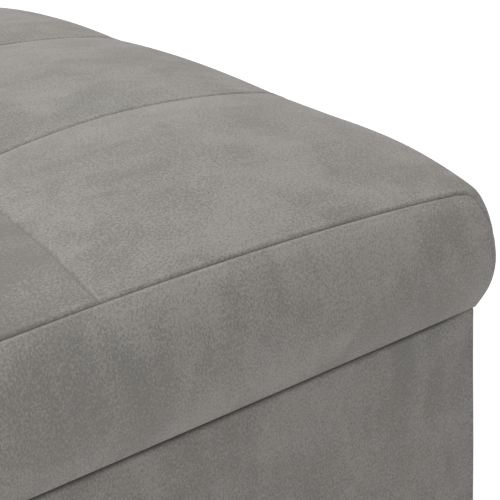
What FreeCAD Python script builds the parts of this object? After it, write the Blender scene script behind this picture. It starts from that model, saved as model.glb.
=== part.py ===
"""Storage ottoman: an upholstered wooden box with a hinged, quilted seat lid.

Millimetres, +Z up. The origin is on the floor, under the middle of the box.
+X runs along the length, -Y is the front, and the lid hinges along the back at +Y.
"""
import FreeCAD
import Part
import math
import os
import re

import Sketcher

# Driving sizes in millimetres, angles in degrees
SIZES = {
    # Box
    "base_width": 810,
    "base_depth": 380,
    "panel_height": 262,
    "panel_thickness": 15,
    "cover_thickness": 2,
    "cover_corner_radius": 3,
    "hem_drop": 28,
    "under_hem": 24,
    "floor_thickness": 9,
    "floor_clearance": 0.3,
    "liner_thickness": 1,
    "dust_thickness": 1,
    "dust_inset": 5,
    "block_size": 62,
    "block_chamfer": 20,
    "block_height": 26,
    "cleat_width": 20,
    # Feet
    "foot_height": 14,
    "foot_inset": 48,
    "foot_top_radius": 21,
    "foot_bottom_radius": 17,
    "foot_recess_radius": 7,
    "foot_recess_depth": 6,
    # Screws
    "frame_screw_radius": 2,
    "frame_screw_head_radius": 4,
    "frame_screw_head_depth": 3,
    "frame_screw_length": 45,
    "frame_screw_margin": 42,
    "foot_screw_radius": 2.2,
    "foot_screw_head_radius": 5,
    "foot_screw_head_height": 3,
    "foot_screw_length": 26,
    "small_screw_radius": 1.5,
    "small_screw_head_radius": 2.8,
    "small_screw_head_depth": 1.4,
    "rim_screw_length": 18,
    "board_screw_length": 11,
    "wall_screw_length": 13,
    # Hinges
    "hinge_offset": 215,
    "hinge_length": 50,
    "hinge_leaf_depth": 20,
    "leaf_thickness": 1.4,
    "leaf_clearance": 0.2,
    "knuckle_radius": 2.6,
    "knuckle_clearance": 1,
    "knuckle_gap": 0.3,
    "hinge_pin_radius": 1.2,
    "running_clearance": 0.05,
    "hinge_screw_pitch": 17,
    "lid_open_angle": 95,
    # Folding lid stays
    "stay_lid_forward": 150,
    "stay_lid_down": 14,
    "stay_base_forward": 100,
    "stay_base_down": 70,
    "stay_arm_width": 13,
    "stay_arm_thickness": 2,
    "stay_layer_gap": 0.3,
    "stay_wall_gap": 2.5,
    "stay_plate_thickness": 2,
    "stay_boss_radius": 7,
    "stay_plate_reach": 30,
    "stay_plate_margin": 10,
    "stay_rivet_radius": 2.5,
    "stay_rivet_head_radius": 4.5,
    "stay_rivet_head_height": 1.2,
    "stay_stop_radius": 2.2,
    "stay_stop_clearance": 0.15,
    "stay_flange_width": 22,
    "stay_flange_length": 46,
    "stay_flange_screw_pitch": 28,
    # Lid and seat
    "board_thickness": 12,
    "board_inset": 1.5,
    "lid_hem": 28,
    "liner_gap": 0.2,
    "foam_thickness": 36,
    "foam_inset": 12,
    "bumper_radius": 6,
    "tie_radius": 1.2,
    "tie_clearance": 0.3,
    # Quilted cushion, heights measured from the underside of the lid
    "edge_seam_height": 66.5,
    "edge_seam_drop": 10.5,
    "edge_seam_roll": 215,
    "edge_seam_inset": 1.5,
    "side_bulge": 10.3,
    "bulge_height": 27,
    "corner_round": 10,
    "row_pitch": 143,
    "row_seam_height": 91,
    "row_puff": 6,
    "edge_row_puff": 8,
    "side_drop": 17.5,
    "side_roll": 130,
    "shoulder_round": 24,
    "edge_shoulder": 6,
    "tuft_dip": 8,
    "tuft_reach": 85,
    "middle_seam_dip": 6,
    "middle_seam_reach": 60,
}

# Places worked out from the driving sizes
PLACES = {
    "half_width": "base_width / 2",
    "half_depth": "base_depth / 2",
    "base_low": "foot_height + dust_thickness",
    "panel_low": "base_low + cover_thickness",
    "panel_high": "panel_low + panel_height",
    "rim_level": "panel_high + cover_thickness",
    "panel_out_x": "half_width - cover_thickness",
    "panel_in_x": "panel_out_x - panel_thickness",
    "panel_out_y": "half_depth - cover_thickness",
    "panel_in_y": "panel_out_y - panel_thickness",
    "panel_mid_x": "panel_out_x - panel_thickness / 2",
    "panel_mid_y": "panel_out_y - panel_thickness / 2",
    "hem_in_x": "panel_in_x - cover_thickness",
    "hem_in_y": "panel_in_y - cover_thickness",
    "hem_low": "panel_high - hem_drop",
    "floor_low": "panel_low + block_height",
    "floor_high": "floor_low + floor_thickness",
    "liner_in_x": "panel_in_x - liner_thickness",
    "liner_in_y": "panel_in_y - liner_thickness",
    "foot_x": "half_width - foot_inset",
    "foot_y": "half_depth - foot_inset",
    "lid_gap": "2 * leaf_thickness + leaf_clearance",
    "lid_level": "rim_level + lid_gap",
    "board_low": "lid_level + cover_thickness",
    "board_high": "board_low + board_thickness",
    "foam_high": "board_high + foam_thickness",
    "axis_y": "half_depth + knuckle_clearance + knuckle_radius",
    "axis_z": "lid_level - knuckle_radius",
    "leaf_edge_y": "axis_y - hinge_leaf_depth",
    "leaf_root_y": "axis_y - knuckle_radius - knuckle_gap",
    "knuckle_pitch": "hinge_length / 5",
    "lid_pivot_y": "axis_y - stay_lid_forward",
    "lid_pivot_z": "axis_z - stay_lid_down",
    "base_pivot_y": "axis_y - stay_base_forward",
    "base_pivot_z": "axis_z - stay_base_down",
    "elbow_y": "axis_y - stay_base_forward - stay_lid_forward",
    "elbow_z": "axis_z - stay_base_down - stay_lid_down",
    "lower_arm_length": "sqrt(stay_lid_forward ^ 2 + stay_lid_down ^ 2)",
    "upper_arm_length": "sqrt(stay_base_forward ^ 2 + stay_base_down ^ 2)",
    "lower_arm_angle": "atan(stay_lid_down / stay_lid_forward)",
    "upper_arm_angle": "atan(stay_base_down / stay_base_forward)",
    "elbow_open_angle": "upper_arm_angle - lower_arm_angle + lid_open_angle * 1deg",
    "stop_reach": "(stay_arm_width / 2 + stay_stop_radius + stay_stop_clearance)"
                  " / sin(180deg - elbow_open_angle)",
    "lower_arm_out": "hem_in_x - stay_wall_gap",
    "lower_arm_in": "lower_arm_out - stay_arm_thickness",
    "upper_arm_out": "lower_arm_in - stay_layer_gap",
    "upper_arm_in": "upper_arm_out - stay_arm_thickness",
    "ear_out": "upper_arm_in - stay_layer_gap",
    "ear_in": "ear_out - stay_plate_thickness",
    "plate_in": "liner_in_x - stay_plate_thickness",
    "boss_in": "lower_arm_out + stay_layer_gap",
    "flange_in": "ear_out - stay_flange_width",
    "flange_low": "lid_level - stay_plate_thickness",
    "rivet_hole_radius": "stay_rivet_radius + running_clearance",
}

doc = FreeCAD.newDocument("storage_ottoman")
sheet = doc.addObject("Spreadsheet::Sheet", "Dims")
for row, (alias, size) in enumerate(SIZES.items(), start=1):
    sheet.set(f"A{row}", alias)
    sheet.set(f"B{row}", str(size))
    sheet.setAlias(f"B{row}", alias)
doc.recompute()

nodes = []


def bound(formula):
    """Expression text with every size and place name tied to the sheet."""
    def tie(match):
        name = match.group(0)
        if name in SIZES:
            return "Dims." + name
        if name in PLACES:
            return "(" + bound(PLACES[name]) + ")"
        return name
    return re.sub(r"[a-z][a-z0-9_]*", tie, formula)


def number(formula):
    """Value of a formula as a plain number."""
    value = sheet.evalExpression(bound(formula))
    return float(getattr(value, "Value", value))


def new(kind, label):
    item = doc.addObject(kind, label)
    item.Label = label
    return item


def put(item, place):
    """Tie an object's position to three formulas."""
    for way, formula in zip("xyz", place):
        item.setExpression(f"Placement.Base.{way}", bound(formula))


def keep(item):
    """List an object as a finished sub-part."""
    nodes.append(item)
    return item


def box(label, x_span, y_span, z_span):
    item = new("Part::Box", label)
    spans = (x_span, y_span, z_span)
    for side, (low, high) in zip(("Length", "Width", "Height"), spans):
        item.setExpression(side, bound(f"({high}) - ({low})"))
    put(item, [low for low, high in spans])
    return item


# Turn that points a primitive's own Z axis along each direction
TURNS = {
    "+x": FreeCAD.Rotation(FreeCAD.Vector(0, 1, 0), 90),
    "-x": FreeCAD.Rotation(FreeCAD.Vector(0, 1, 0), -90),
    "+y": FreeCAD.Rotation(FreeCAD.Vector(1, 0, 0), -90),
    "-y": FreeCAD.Rotation(FreeCAD.Vector(1, 0, 0), 90),
    "+z": FreeCAD.Rotation(),
    "-z": FreeCAD.Rotation(FreeCAD.Vector(1, 0, 0), 180),
}


def rod(label, start, way, radius, length):
    item = new("Part::Cylinder", label)
    item.Placement = FreeCAD.Placement(FreeCAD.Vector(), TURNS[way])
    item.setExpression("Radius", bound(radius))
    item.setExpression("Height", bound(length))
    put(item, start)
    return item


def taper(label, start, way, radius_low, radius_high, length):
    item = new("Part::Cone", label)
    item.Placement = FreeCAD.Placement(FreeCAD.Vector(), TURNS[way])
    item.setExpression("Radius1", bound(radius_low))
    item.setExpression("Radius2", bound(radius_high))
    item.setExpression("Height", bound(length))
    put(item, start)
    return item


def fuse(label, *pieces):
    item = new("Part::MultiFuse", label)
    item.Shapes = list(pieces)
    return item


def group(label, pieces):
    item = new("Part::Compound", label)
    item.Links = list(pieces)
    return item


def cut(label, base, *tools):
    item = new("Part::Cut", label)
    item.Base = base
    item.Tool = tools[0] if len(tools) == 1 else group(label + "_tools", tools)
    return item


def mirrored(side, inner, outer):
    """Span along X on the left (-1) or right (+1) side of the box."""
    if side > 0:
        return (inner, outer)
    return (f"-({outer})", f"-({inner})")


def on_side(side, formula):
    return formula if side > 0 else f"-({formula})"


def outline(body, label, role, corners):
    """Closed sketch of straight lines with every corner tied to formulas."""
    sketch = body.newObject("Sketcher::SketchObject", label)
    plane = [item for item in body.Origin.OriginFeatures if item.Role == role][0]
    sketch.AttachmentSupport = [(plane, "")]
    sketch.MapMode = "FlatFace"
    spots = [FreeCAD.Vector(number(across), number(along), 0) for across, along in corners]
    count = len(spots)
    for index in range(count):
        sketch.addGeometry(Part.LineSegment(spots[index], spots[(index + 1) % count]))
    for index in range(count):
        sketch.addConstraint(Sketcher.Constraint("Coincident", index, 2, (index + 1) % count, 1))
    for index, corner in enumerate(corners):
        for way, axis, formula in zip("XY", (-2, -1), corner):
            if formula == "0":
                sketch.addConstraint(Sketcher.Constraint("PointOnObject", index, 1, axis))
                continue
            held = Sketcher.Constraint("Distance" + way, -1, 1, index, 1, number(formula))
            sketch.setExpression(f"Constraints[{sketch.addConstraint(held)}]", bound(formula))
    return sketch


def sunk_screw(label, place, way, radius, head_radius, head_depth, length):
    """Countersunk screw whose flat head starts at place and points along way."""
    head = taper(label + "_head", place, way, head_radius, radius, head_depth)
    shank = rod(label + "_shank", place, way, radius, length)
    return fuse(label, head, shank)


def small_screw(label, place, way, length):
    return sunk_screw(label, place, way, "small_screw_radius", "small_screw_head_radius",
                      "small_screw_head_depth", length)


SIDES = (("left", -1), ("right", 1))
ENDS = (("front", -1), ("back", 1))


# Frame screws: through the front and back panels into the ends of the side panels
def frame_screws():
    levels = {
        "low": "panel_low + frame_screw_margin",
        "mid": "panel_low + panel_height / 2",
        "top": "panel_high - frame_screw_margin",
    }
    screws = []
    for end, way in ENDS:
        for side, sign in SIDES:
            for name, level in levels.items():
                place = (on_side(sign, "panel_mid_x"), on_side(way, "panel_out_y"), level)
                screws.append(sunk_screw(f"frame_screw_{end}_{side}_{name}", place,
                                         "+y" if way < 0 else "-y", "frame_screw_radius",
                                         "frame_screw_head_radius", "frame_screw_head_depth",
                                         "frame_screw_length"))
    return keep(group("frame_screws", screws))


# Hinge screws: down into the top edge of the back panel, and up into the lid board
def hinge_screws(label, way, level, length):
    screws = []
    for side, sign in SIDES:
        for step in (-1, 0, 1):
            place = (on_side(sign, "hinge_offset") + f" + {step} * hinge_screw_pitch",
                     "panel_mid_y", level)
            screws.append(small_screw(f"{label}_{side}_{step + 2}", place, way, length))
    return keep(group(label, screws))


# Stay screws: into the side panels, and up into the lid board
def stay_base_screws():
    corners = (("stay_plate_reach - stay_plate_margin / 2", "0"),
               ("stay_plate_reach - stay_plate_margin / 2", "stay_plate_reach - stay_plate_margin / 2"),
               ("0", "stay_plate_reach - stay_plate_margin / 2"))
    screws = []
    for side, sign in SIDES:
        for index, (back, down) in enumerate(corners):
            place = (on_side(sign, "plate_in"), f"base_pivot_y + {back}", f"base_pivot_z - ({down})")
            screws.append(small_screw(f"stay_base_screw_{side}_{index + 1}", place,
                                      "+x" if sign > 0 else "-x", "wall_screw_length"))
    return keep(group("stay_base_screws", screws))


def stay_lid_screws():
    screws = []
    for side, sign in SIDES:
        for step in (-1, 1):
            place = (on_side(sign, "(flange_in + ear_in) / 2"),
                     f"lid_pivot_y + {step} * stay_flange_screw_pitch / 2", "flange_low")
            screws.append(small_screw(f"stay_lid_screw_{side}_{step + 2}", place, "+z",
                                      "board_screw_length"))
    return keep(group("stay_lid_screws", screws))


# Foot screws: pan heads in the feet's recesses, shanks up into the corner blocks
def foot_screws():
    screws = []
    for end, way in ENDS:
        for side, sign in SIDES:
            label = f"foot_screw_{end}_{side}"
            place = (on_side(sign, "foot_x"), on_side(way, "foot_y"), "foot_recess_depth")
            head = rod(label + "_head", place, "-z", "foot_screw_head_radius", "foot_screw_head_height")
            shank = rod(label + "_shank", place, "+z", "foot_screw_radius", "foot_screw_length")
            screws.append(fuse(label, head, shank))
    return keep(group("foot_screws", screws))


frame_screw_group = frame_screws()
foot_screw_group = foot_screws()
rim_screw_group = hinge_screws("hinge_base_screws", "-z", "rim_level + leaf_thickness", "rim_screw_length")
lid_screw_group = hinge_screws("hinge_lid_screws", "+z", "lid_level - leaf_thickness", "board_screw_length")
wall_screw_group = stay_base_screws()
flange_screw_group = stay_lid_screws()


# Box panels: front and back run the full length, the sides fit between them
def box_panels():
    height = ("panel_low", "panel_high")
    full = ("-panel_out_x", "panel_out_x")
    between = ("-panel_in_y", "panel_in_y")
    front = box("front_panel_blank", full, ("-panel_out_y", "-panel_in_y"), height)
    back = box("back_panel_blank", full, ("panel_in_y", "panel_out_y"), height)
    keep(cut("front_panel", front, frame_screw_group))
    keep(cut("back_panel", back, frame_screw_group, rim_screw_group))
    for side, sign in SIDES:
        blank = box(f"{side}_panel_blank", mirrored(sign, "panel_in_x", "panel_out_x"), between, height)
        keep(cut(f"{side}_panel", blank, frame_screw_group, wall_screw_group))


# Corner blocks under the floor: squares with the inner corner taken off, turned into each corner
def corner_blocks():
    corners = (("0", "0"), ("block_size", "0"), ("block_size", "block_size - block_chamfer"),
               ("block_size - block_chamfer", "block_size"), ("0", "block_size"))
    turns = {("front", "left"): 0, ("front", "right"): 90, ("back", "right"): 180, ("back", "left"): 270}
    for end, way in ENDS:
        for side, sign in SIDES:
            label = f"corner_block_{end}_{side}"
            body = new("PartDesign::Body", label + "_blank")
            pad = body.newObject("PartDesign::Pad", label + "_pad")
            pad.Profile = outline(body, label + "_outline", "XY_Plane", corners)
            pad.setExpression("Length", bound("block_height"))
            turn = FreeCAD.Rotation(FreeCAD.Vector(0, 0, 1), turns[(end, side)])
            body.Placement = FreeCAD.Placement(FreeCAD.Vector(), turn)
            put(body, (on_side(sign, "panel_in_x"), on_side(way, "panel_in_y"), "panel_low"))
            keep(cut(label, body, foot_screw_group))


# Floor: battens along the foot of each panel carry a plywood sheet
def box_floor():
    height = ("panel_low", "floor_low")
    long_run = ("-panel_in_x + block_size", "panel_in_x - block_size")
    short_run = ("-panel_in_y + block_size", "panel_in_y - block_size")
    keep(box("floor_cleat_front", long_run, ("-panel_in_y", "-panel_in_y + cleat_width"), height))
    keep(box("floor_cleat_back", long_run, ("panel_in_y - cleat_width", "panel_in_y"), height))
    for side, sign in SIDES:
        across = mirrored(sign, "panel_in_x - cleat_width", "panel_in_x")
        keep(box(f"floor_cleat_{side}", across, short_run, height))
    keep(box("floor_panel", ("-panel_in_x + floor_clearance", "panel_in_x - floor_clearance"),
             ("-panel_in_y + floor_clearance", "panel_in_y - floor_clearance"),
             ("floor_low", "floor_high")))


# Base cover: velvet round the box, over the rim and down inside, and under the bottom edge
def base_cover():
    block = box("base_cover_block", ("-half_width", "half_width"), ("-half_depth", "half_depth"),
                ("base_low", "rim_level"))
    doc.recompute()
    upright = [index for index, edge in enumerate(block.Shape.Edges, start=1)
               if abs(edge.tangentAt(edge.FirstParameter).z) > 0.9]
    rounded = new("Part::Fillet", "base_cover_rounded")
    rounded.Base = block
    radius = number("cover_corner_radius")
    rounded.Edges = [(index, radius, radius) for index in upright]
    core = box("base_cover_core", ("-panel_out_x", "panel_out_x"), ("-panel_out_y", "panel_out_y"),
               ("panel_low", "panel_high"))
    mouth = box("base_cover_mouth", ("-hem_in_x", "hem_in_x"), ("-hem_in_y", "hem_in_y"),
                ("hem_low", "rim_level"))
    under_x = "panel_out_x - under_hem"
    under_y = "panel_out_y - under_hem"
    under = box("base_cover_under", (f"-({under_x})", under_x), (f"-({under_y})", under_y),
                ("base_low", "panel_low"))
    skin = cut("base_cover_skin", rounded, core, mouth, under)
    band = box("base_cover_band", ("-panel_in_x", "panel_in_x"), ("-panel_in_y", "panel_in_y"),
               ("hem_low", "panel_high"))
    hem = cut("base_cover_hem", band, mouth)
    keep(cut("base_cover", fuse("base_cover_whole", skin, hem), rim_screw_group))


# Storage liner: non-woven cloth on the floor and walls, up to the hem of the velvet
def storage_liner():
    outer = box("storage_liner_block", ("-panel_in_x", "panel_in_x"), ("-panel_in_y", "panel_in_y"),
                ("floor_high", "hem_low"))
    inner = box("storage_liner_room", ("-liner_in_x", "liner_in_x"), ("-liner_in_y", "liner_in_y"),
                ("floor_high + liner_thickness", "hem_low"))
    keep(cut("storage_liner", outer, inner, wall_screw_group))


# Dust cover: thin black cloth stapled across the bottom, under the hem
def dust_cover():
    across = "half_width - dust_inset"
    along = "half_depth - dust_inset"
    sheet_blank = box("dust_cover_blank", (f"-({across})", across), (f"-({along})", along),
                      ("foot_height", "base_low"))
    keep(cut("dust_cover", sheet_blank, foot_screw_group))


# Feet: tapered moulded glides with a screw recess from below
def feet():
    profile = (("foot_screw_radius", "foot_recess_depth"), ("foot_recess_radius", "foot_recess_depth"),
               ("foot_recess_radius", "0"), ("foot_bottom_radius", "0"),
               ("foot_top_radius", "foot_height"), ("foot_screw_radius", "foot_height"))
    for end, way in ENDS:
        for side, sign in SIDES:
            label = f"foot_{end}_{side}"
            body = new("PartDesign::Body", label)
            turned = body.newObject("PartDesign::Revolution", label + "_turned")
            turned.Profile = outline(body, label + "_profile", "XZ_Plane", profile)
            turned.ReferenceAxis = (turned.Profile[0], ["V_Axis"])
            turned.Angle = 360
            put(body, (on_side(sign, "foot_x"), on_side(way, "foot_y"), "0"))
            keep(body)


# Butt hinges: leaves between rim and lid, rolled knuckles just behind the back face
def hinge_leaf(label, centre, low, high, knuckles, screws):
    first = f"{centre} - hinge_length / 2"
    plate = box(label + "_plate", (first, f"{first} + hinge_length"), ("leaf_edge_y", "leaf_root_y"),
                (low, high))
    pieces = [plate]
    for index in knuckles:
        start = f"{first} + {index} * knuckle_pitch + knuckle_gap / 2"
        width = "knuckle_pitch - knuckle_gap"
        pieces.append(box(f"{label}_tongue_{index}", (start, f"{start} + {width}"),
                          ("leaf_root_y", "axis_y"), (low, high)))
        pieces.append(rod(f"{label}_knuckle_{index}", (start, "axis_y", "axis_z"), "+x",
                          "knuckle_radius", width))
    bore = rod(label + "_bore", (first, "axis_y", "axis_z"), "+x",
               "hinge_pin_radius + running_clearance", "hinge_length")
    return cut(label, fuse(label + "_whole", *pieces), bore, screws)


def hinges():
    for side, sign in SIDES:
        centre = on_side(sign, "hinge_offset")
        keep(hinge_leaf(f"hinge_base_leaf_{side}", centre, "rim_level", "rim_level + leaf_thickness",
                        (0, 2, 4), rim_screw_group))
        keep(hinge_leaf(f"hinge_lid_leaf_{side}", centre, "lid_level - leaf_thickness", "lid_level",
                        (1, 3), lid_screw_group))
        keep(rod(f"hinge_pin_{side}", (f"{centre} - hinge_length / 2", "axis_y", "axis_z"), "+x",
                 "hinge_pin_radius", "hinge_length"))


# Folding stays: lower arm parallel to the lid, upper arm parallel to the line from hinge to base pivot
def rivet(label, side, inner, outer, pivot_y, pivot_z, flush_wall=False):
    """Pin along X with a domed head past its inner face, and past the outer one unless flush."""
    low, high = mirrored(side, inner, outer)
    pieces = [rod(label + "_shank", (low, pivot_y, pivot_z), "+x", "stay_rivet_radius",
                  f"({high}) - ({low})")]
    faces = {"inner": on_side(side, inner)}
    if not flush_wall:
        faces["outer"] = on_side(side, outer)
    for name, face in faces.items():
        way = "-x" if face == low else "+x"
        pieces.append(taper(f"{label}_{name}_head", (face, pivot_y, pivot_z), way,
                            "stay_rivet_head_radius", "stay_rivet_radius", "stay_rivet_head_height"))
    return fuse(label, *pieces)


def stay_arm(label, span, pivot_y, pivot_z, angle, length, beyond, near_hole, far_hole):
    """Flat bar with round ends, made straight along -Y and then swung to its angle."""
    low, high = span
    thick = f"({high}) - ({low})"
    half = "stay_arm_width / 2"
    reach = f"{length} + {beyond}"
    bar = box(label + "_bar", ("0", thick), (f"-({reach})", "0"), (f"-{half}", half))
    near_end = rod(label + "_near_end", ("0", "0", "0"), "+x", half, thick)
    far_end = rod(label + "_far_end", ("0", f"-({reach})", "0"), "+x", half, thick)
    near_eye = rod(label + "_near_eye", ("0", "0", "0"), "+x", near_hole, thick)
    far_eye = rod(label + "_far_eye", ("0", f"-({length})", "0"), "+x", far_hole, thick)
    holes = [near_eye, far_eye]
    if beyond != "0":
        holes.append(rod(label + "_stop_eye", ("0", f"-({reach})", "0"), "+x", "stay_stop_radius", thick))
    arm = cut(label, fuse(label + "_whole", bar, near_end, far_end), *holes)
    arm.Placement = FreeCAD.Placement(FreeCAD.Vector(), FreeCAD.Rotation(FreeCAD.Vector(1, 0, 0), 1))
    arm.setExpression("Placement.Rotation.Angle", bound(angle))
    put(arm, (low, pivot_y, pivot_z))
    return arm


def stay_base_bracket(side, sign, base_rivet):
    label = f"stay_base_bracket_{side}"
    plate = box(label + "_plate", mirrored(sign, "plate_in", "liner_in_x"),
                ("base_pivot_y - stay_plate_margin", "base_pivot_y + stay_plate_reach"),
                ("base_pivot_z - stay_plate_reach", "base_pivot_z + stay_plate_margin"))
    low, high = mirrored(sign, "boss_in", "plate_in")
    boss = rod(label + "_boss", (low, "base_pivot_y", "base_pivot_z"), "+x", "stay_boss_radius",
               f"({high}) - ({low})")
    return cut(label, fuse(label + "_whole", plate, boss), base_rivet, wall_screw_group)


def stay_lid_bracket(side, sign, lid_rivet):
    label = f"stay_lid_bracket_{side}"
    half_length = "stay_flange_length / 2"
    flange = box(label + "_flange", mirrored(sign, "flange_in", "ear_out"),
                 (f"lid_pivot_y - {half_length}", f"lid_pivot_y + {half_length}"),
                 ("flange_low", "lid_level"))
    across = mirrored(sign, "ear_in", "ear_out")
    ear = box(label + "_ear", across,
              ("lid_pivot_y - stay_boss_radius", "lid_pivot_y + stay_boss_radius"),
              ("lid_pivot_z", "flange_low"))
    tip = rod(label + "_tip", (across[0], "lid_pivot_y", "lid_pivot_z"), "+x", "stay_boss_radius",
              "stay_plate_thickness")
    return cut(label, fuse(label + "_whole", flange, ear, tip), lid_rivet, flange_screw_group)


def elbow_rivets(side, sign):
    """Elbow rivet and the stop pin that holds the arms open at the lid's limit."""
    label = f"stay_elbow_rivets_{side}"
    pivot = rivet(label + "_pivot", sign, "upper_arm_in", "lower_arm_out", "elbow_y", "elbow_z")
    low, high = mirrored(sign, "upper_arm_in", "lower_arm_out")
    stop_y = "elbow_y - stop_reach * cos(lower_arm_angle)"
    stop_z = "elbow_z - stop_reach * sin(lower_arm_angle)"
    stop = rod(label + "_stop", (low, stop_y, stop_z), "+x", "stay_stop_radius", f"({high}) - ({low})")
    return group(label, (pivot, stop))


def stays():
    for side, sign in SIDES:
        base_rivet = keep(rivet(f"stay_base_rivet_{side}", sign, "lower_arm_in", "liner_in_x",
                                "base_pivot_y", "base_pivot_z", flush_wall=True))
        lid_rivet = keep(rivet(f"stay_lid_rivet_{side}", sign, "ear_in", "upper_arm_out",
                               "lid_pivot_y", "lid_pivot_z"))
        keep(elbow_rivets(side, sign))
        keep(stay_base_bracket(side, sign, base_rivet))
        keep(stay_lid_bracket(side, sign, lid_rivet))
        keep(stay_arm(f"stay_lower_arm_{side}", mirrored(sign, "lower_arm_in", "lower_arm_out"),
                      "base_pivot_y", "base_pivot_z", "lower_arm_angle", "lower_arm_length",
                      "stop_reach", "rivet_hole_radius", "stay_rivet_radius"))
        keep(stay_arm(f"stay_upper_arm_{side}", mirrored(sign, "upper_arm_in", "upper_arm_out"),
                      "lid_pivot_y", "lid_pivot_z", "upper_arm_angle", "upper_arm_length",
                      "0", "rivet_hole_radius", "rivet_hole_radius"))


# Lid: plywood board, foam block, loose fibre fill and tuft ties inside a sewn velvet cover
EDGE_SEAM_POWER = 2
SIDE_ROLL_POWER = 2.4
TUFT_POWER = 2
SIDE_PUFF_LOSS = 0.6
ROW_SEAMS = (-2, -1, 0, 1, 2)
MIDDLE_STEPS = (0, 14, 34, 60, 88)
SIDE_STEPS = (70, 46, 28, 18, 11, 5, 0)
SIDE_TURNS = (18, 36, 54, 70, 82)
SAME_STATION = 3


def fade(distance, reach, power):
    """1 at the line, falling smoothly to 0 at the given reach."""
    return max(0.0, 1 - abs(distance) / reach) ** power


def cushion_stations():
    """Places along Y, from front to back, where the cushion's section is drawn."""
    half = number("half_depth")
    chosen = []
    for spot in [half - step for step in reversed(SIDE_STEPS)] + list(MIDDLE_STEPS):
        if all(abs(spot - other) >= SAME_STATION for other in chosen):
            chosen.append(spot)
    return sorted({sign * spot for spot in chosen for sign in (-1, 1)})


def cushion_heights(spot, turn, inset):
    """Heights of edge seam, edge row, row seam and middle row above the lid's underside."""
    from_side = number("half_depth") - abs(spot)
    level = number("bulge_height")

    def rounded(height, shoulder):
        """Height after the round fall over the long side, which starts at the shoulder."""
        bulge = number("side_bulge")
        past = max(0.0, shoulder - from_side + bulge * math.sin(math.radians(turn)))
        return level + (height - inset - level) * math.sqrt(1 - (past / (shoulder + bulge)) ** 2)

    edge = number("edge_seam_height") - number("edge_seam_drop") * fade(
        from_side, number("edge_seam_roll"), EDGE_SEAM_POWER)
    rolled = number("row_seam_height") - number("side_drop") * fade(
        from_side, number("side_roll"), SIDE_ROLL_POWER)
    seam = rolled - number("tuft_dip") * fade(spot, number("tuft_reach"), TUFT_POWER)
    ease = 1 - SIDE_PUFF_LOSS * fade(from_side, number("side_roll"), TUFT_POWER)
    crease = number("middle_seam_dip") * fade(spot, number("middle_seam_reach"), TUFT_POWER)
    middle = rolled + number("row_puff") * ease - crease
    edge_row = (edge + seam) / 2 + number("edge_row_puff") * ease - crease / 2
    shoulder = number("shoulder_round")
    return (rounded(edge, 0), rounded(edge_row, number("edge_shoulder")), rounded(seam, shoulder),
            rounded(middle, shoulder))


def cushion_section(spot, turn, inset):
    """Closed wire along the cushion: flat bottom, bulging end boxings and the crowned rows between the seams."""
    shrink = math.cos(math.radians(turn))
    bulge_height = number("bulge_height")
    base = number("lid_level")
    edge, edge_row, seam, middle = cushion_heights(spot, turn, inset)
    low = bulge_height - (bulge_height - inset) * shrink
    end = number("half_width") - inset - number("corner_round") * (1 - shrink)
    across = math.copysign(abs(spot) - inset + number("side_bulge") * math.sin(math.radians(turn)), spot)
    if turn == 0:
        across = math.copysign(min(abs(spot), number("half_depth") - inset), spot)
    seam_end = end - number("edge_seam_inset")
    bulge = number("side_bulge") * shrink

    def at(along, height):
        return FreeCAD.Vector(along, across, base + height)

    seams = [at(seam_end, edge)]
    seams += [at(row * number("row_pitch"), seam) for row in reversed(ROW_SEAMS)]
    seams.append(at(-seam_end, edge))
    crowns = [edge_row] + [middle] * (len(ROW_SEAMS) - 1) + [edge_row]
    edges = [
        Part.LineSegment(at(-end, low), at(end, low)),
        Part.Arc(at(end, low), at(end + bulge, bulge_height), seams[0]),
    ]
    for first, last, crown in zip(seams, seams[1:], crowns):
        edges.append(Part.Arc(first, at((first.x + last.x) / 2, crown), last))
    edges.append(Part.Arc(seams[-1], at(-end - bulge, bulge_height), at(-end, low)))
    return Part.Wire([edge.toShape() for edge in edges])


def cushion_form(inset):
    """Solid of the quilted seat, drawn in from the outside by the given inset."""
    stations = cushion_stations()
    rounds = [(stations[0], turn) for turn in reversed(SIDE_TURNS)]
    rounds += [(spot, 0) for spot in stations]
    rounds += [(stations[-1], turn) for turn in SIDE_TURNS]
    wires = [cushion_section(spot, turn, inset) for spot, turn in rounds]
    return Part.makeLoft(wires, True, True)


def feature(label, shape):
    item = new("Part::Feature", label)
    item.Shape = shape
    item.Placement = FreeCAD.Placement()
    return item


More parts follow.
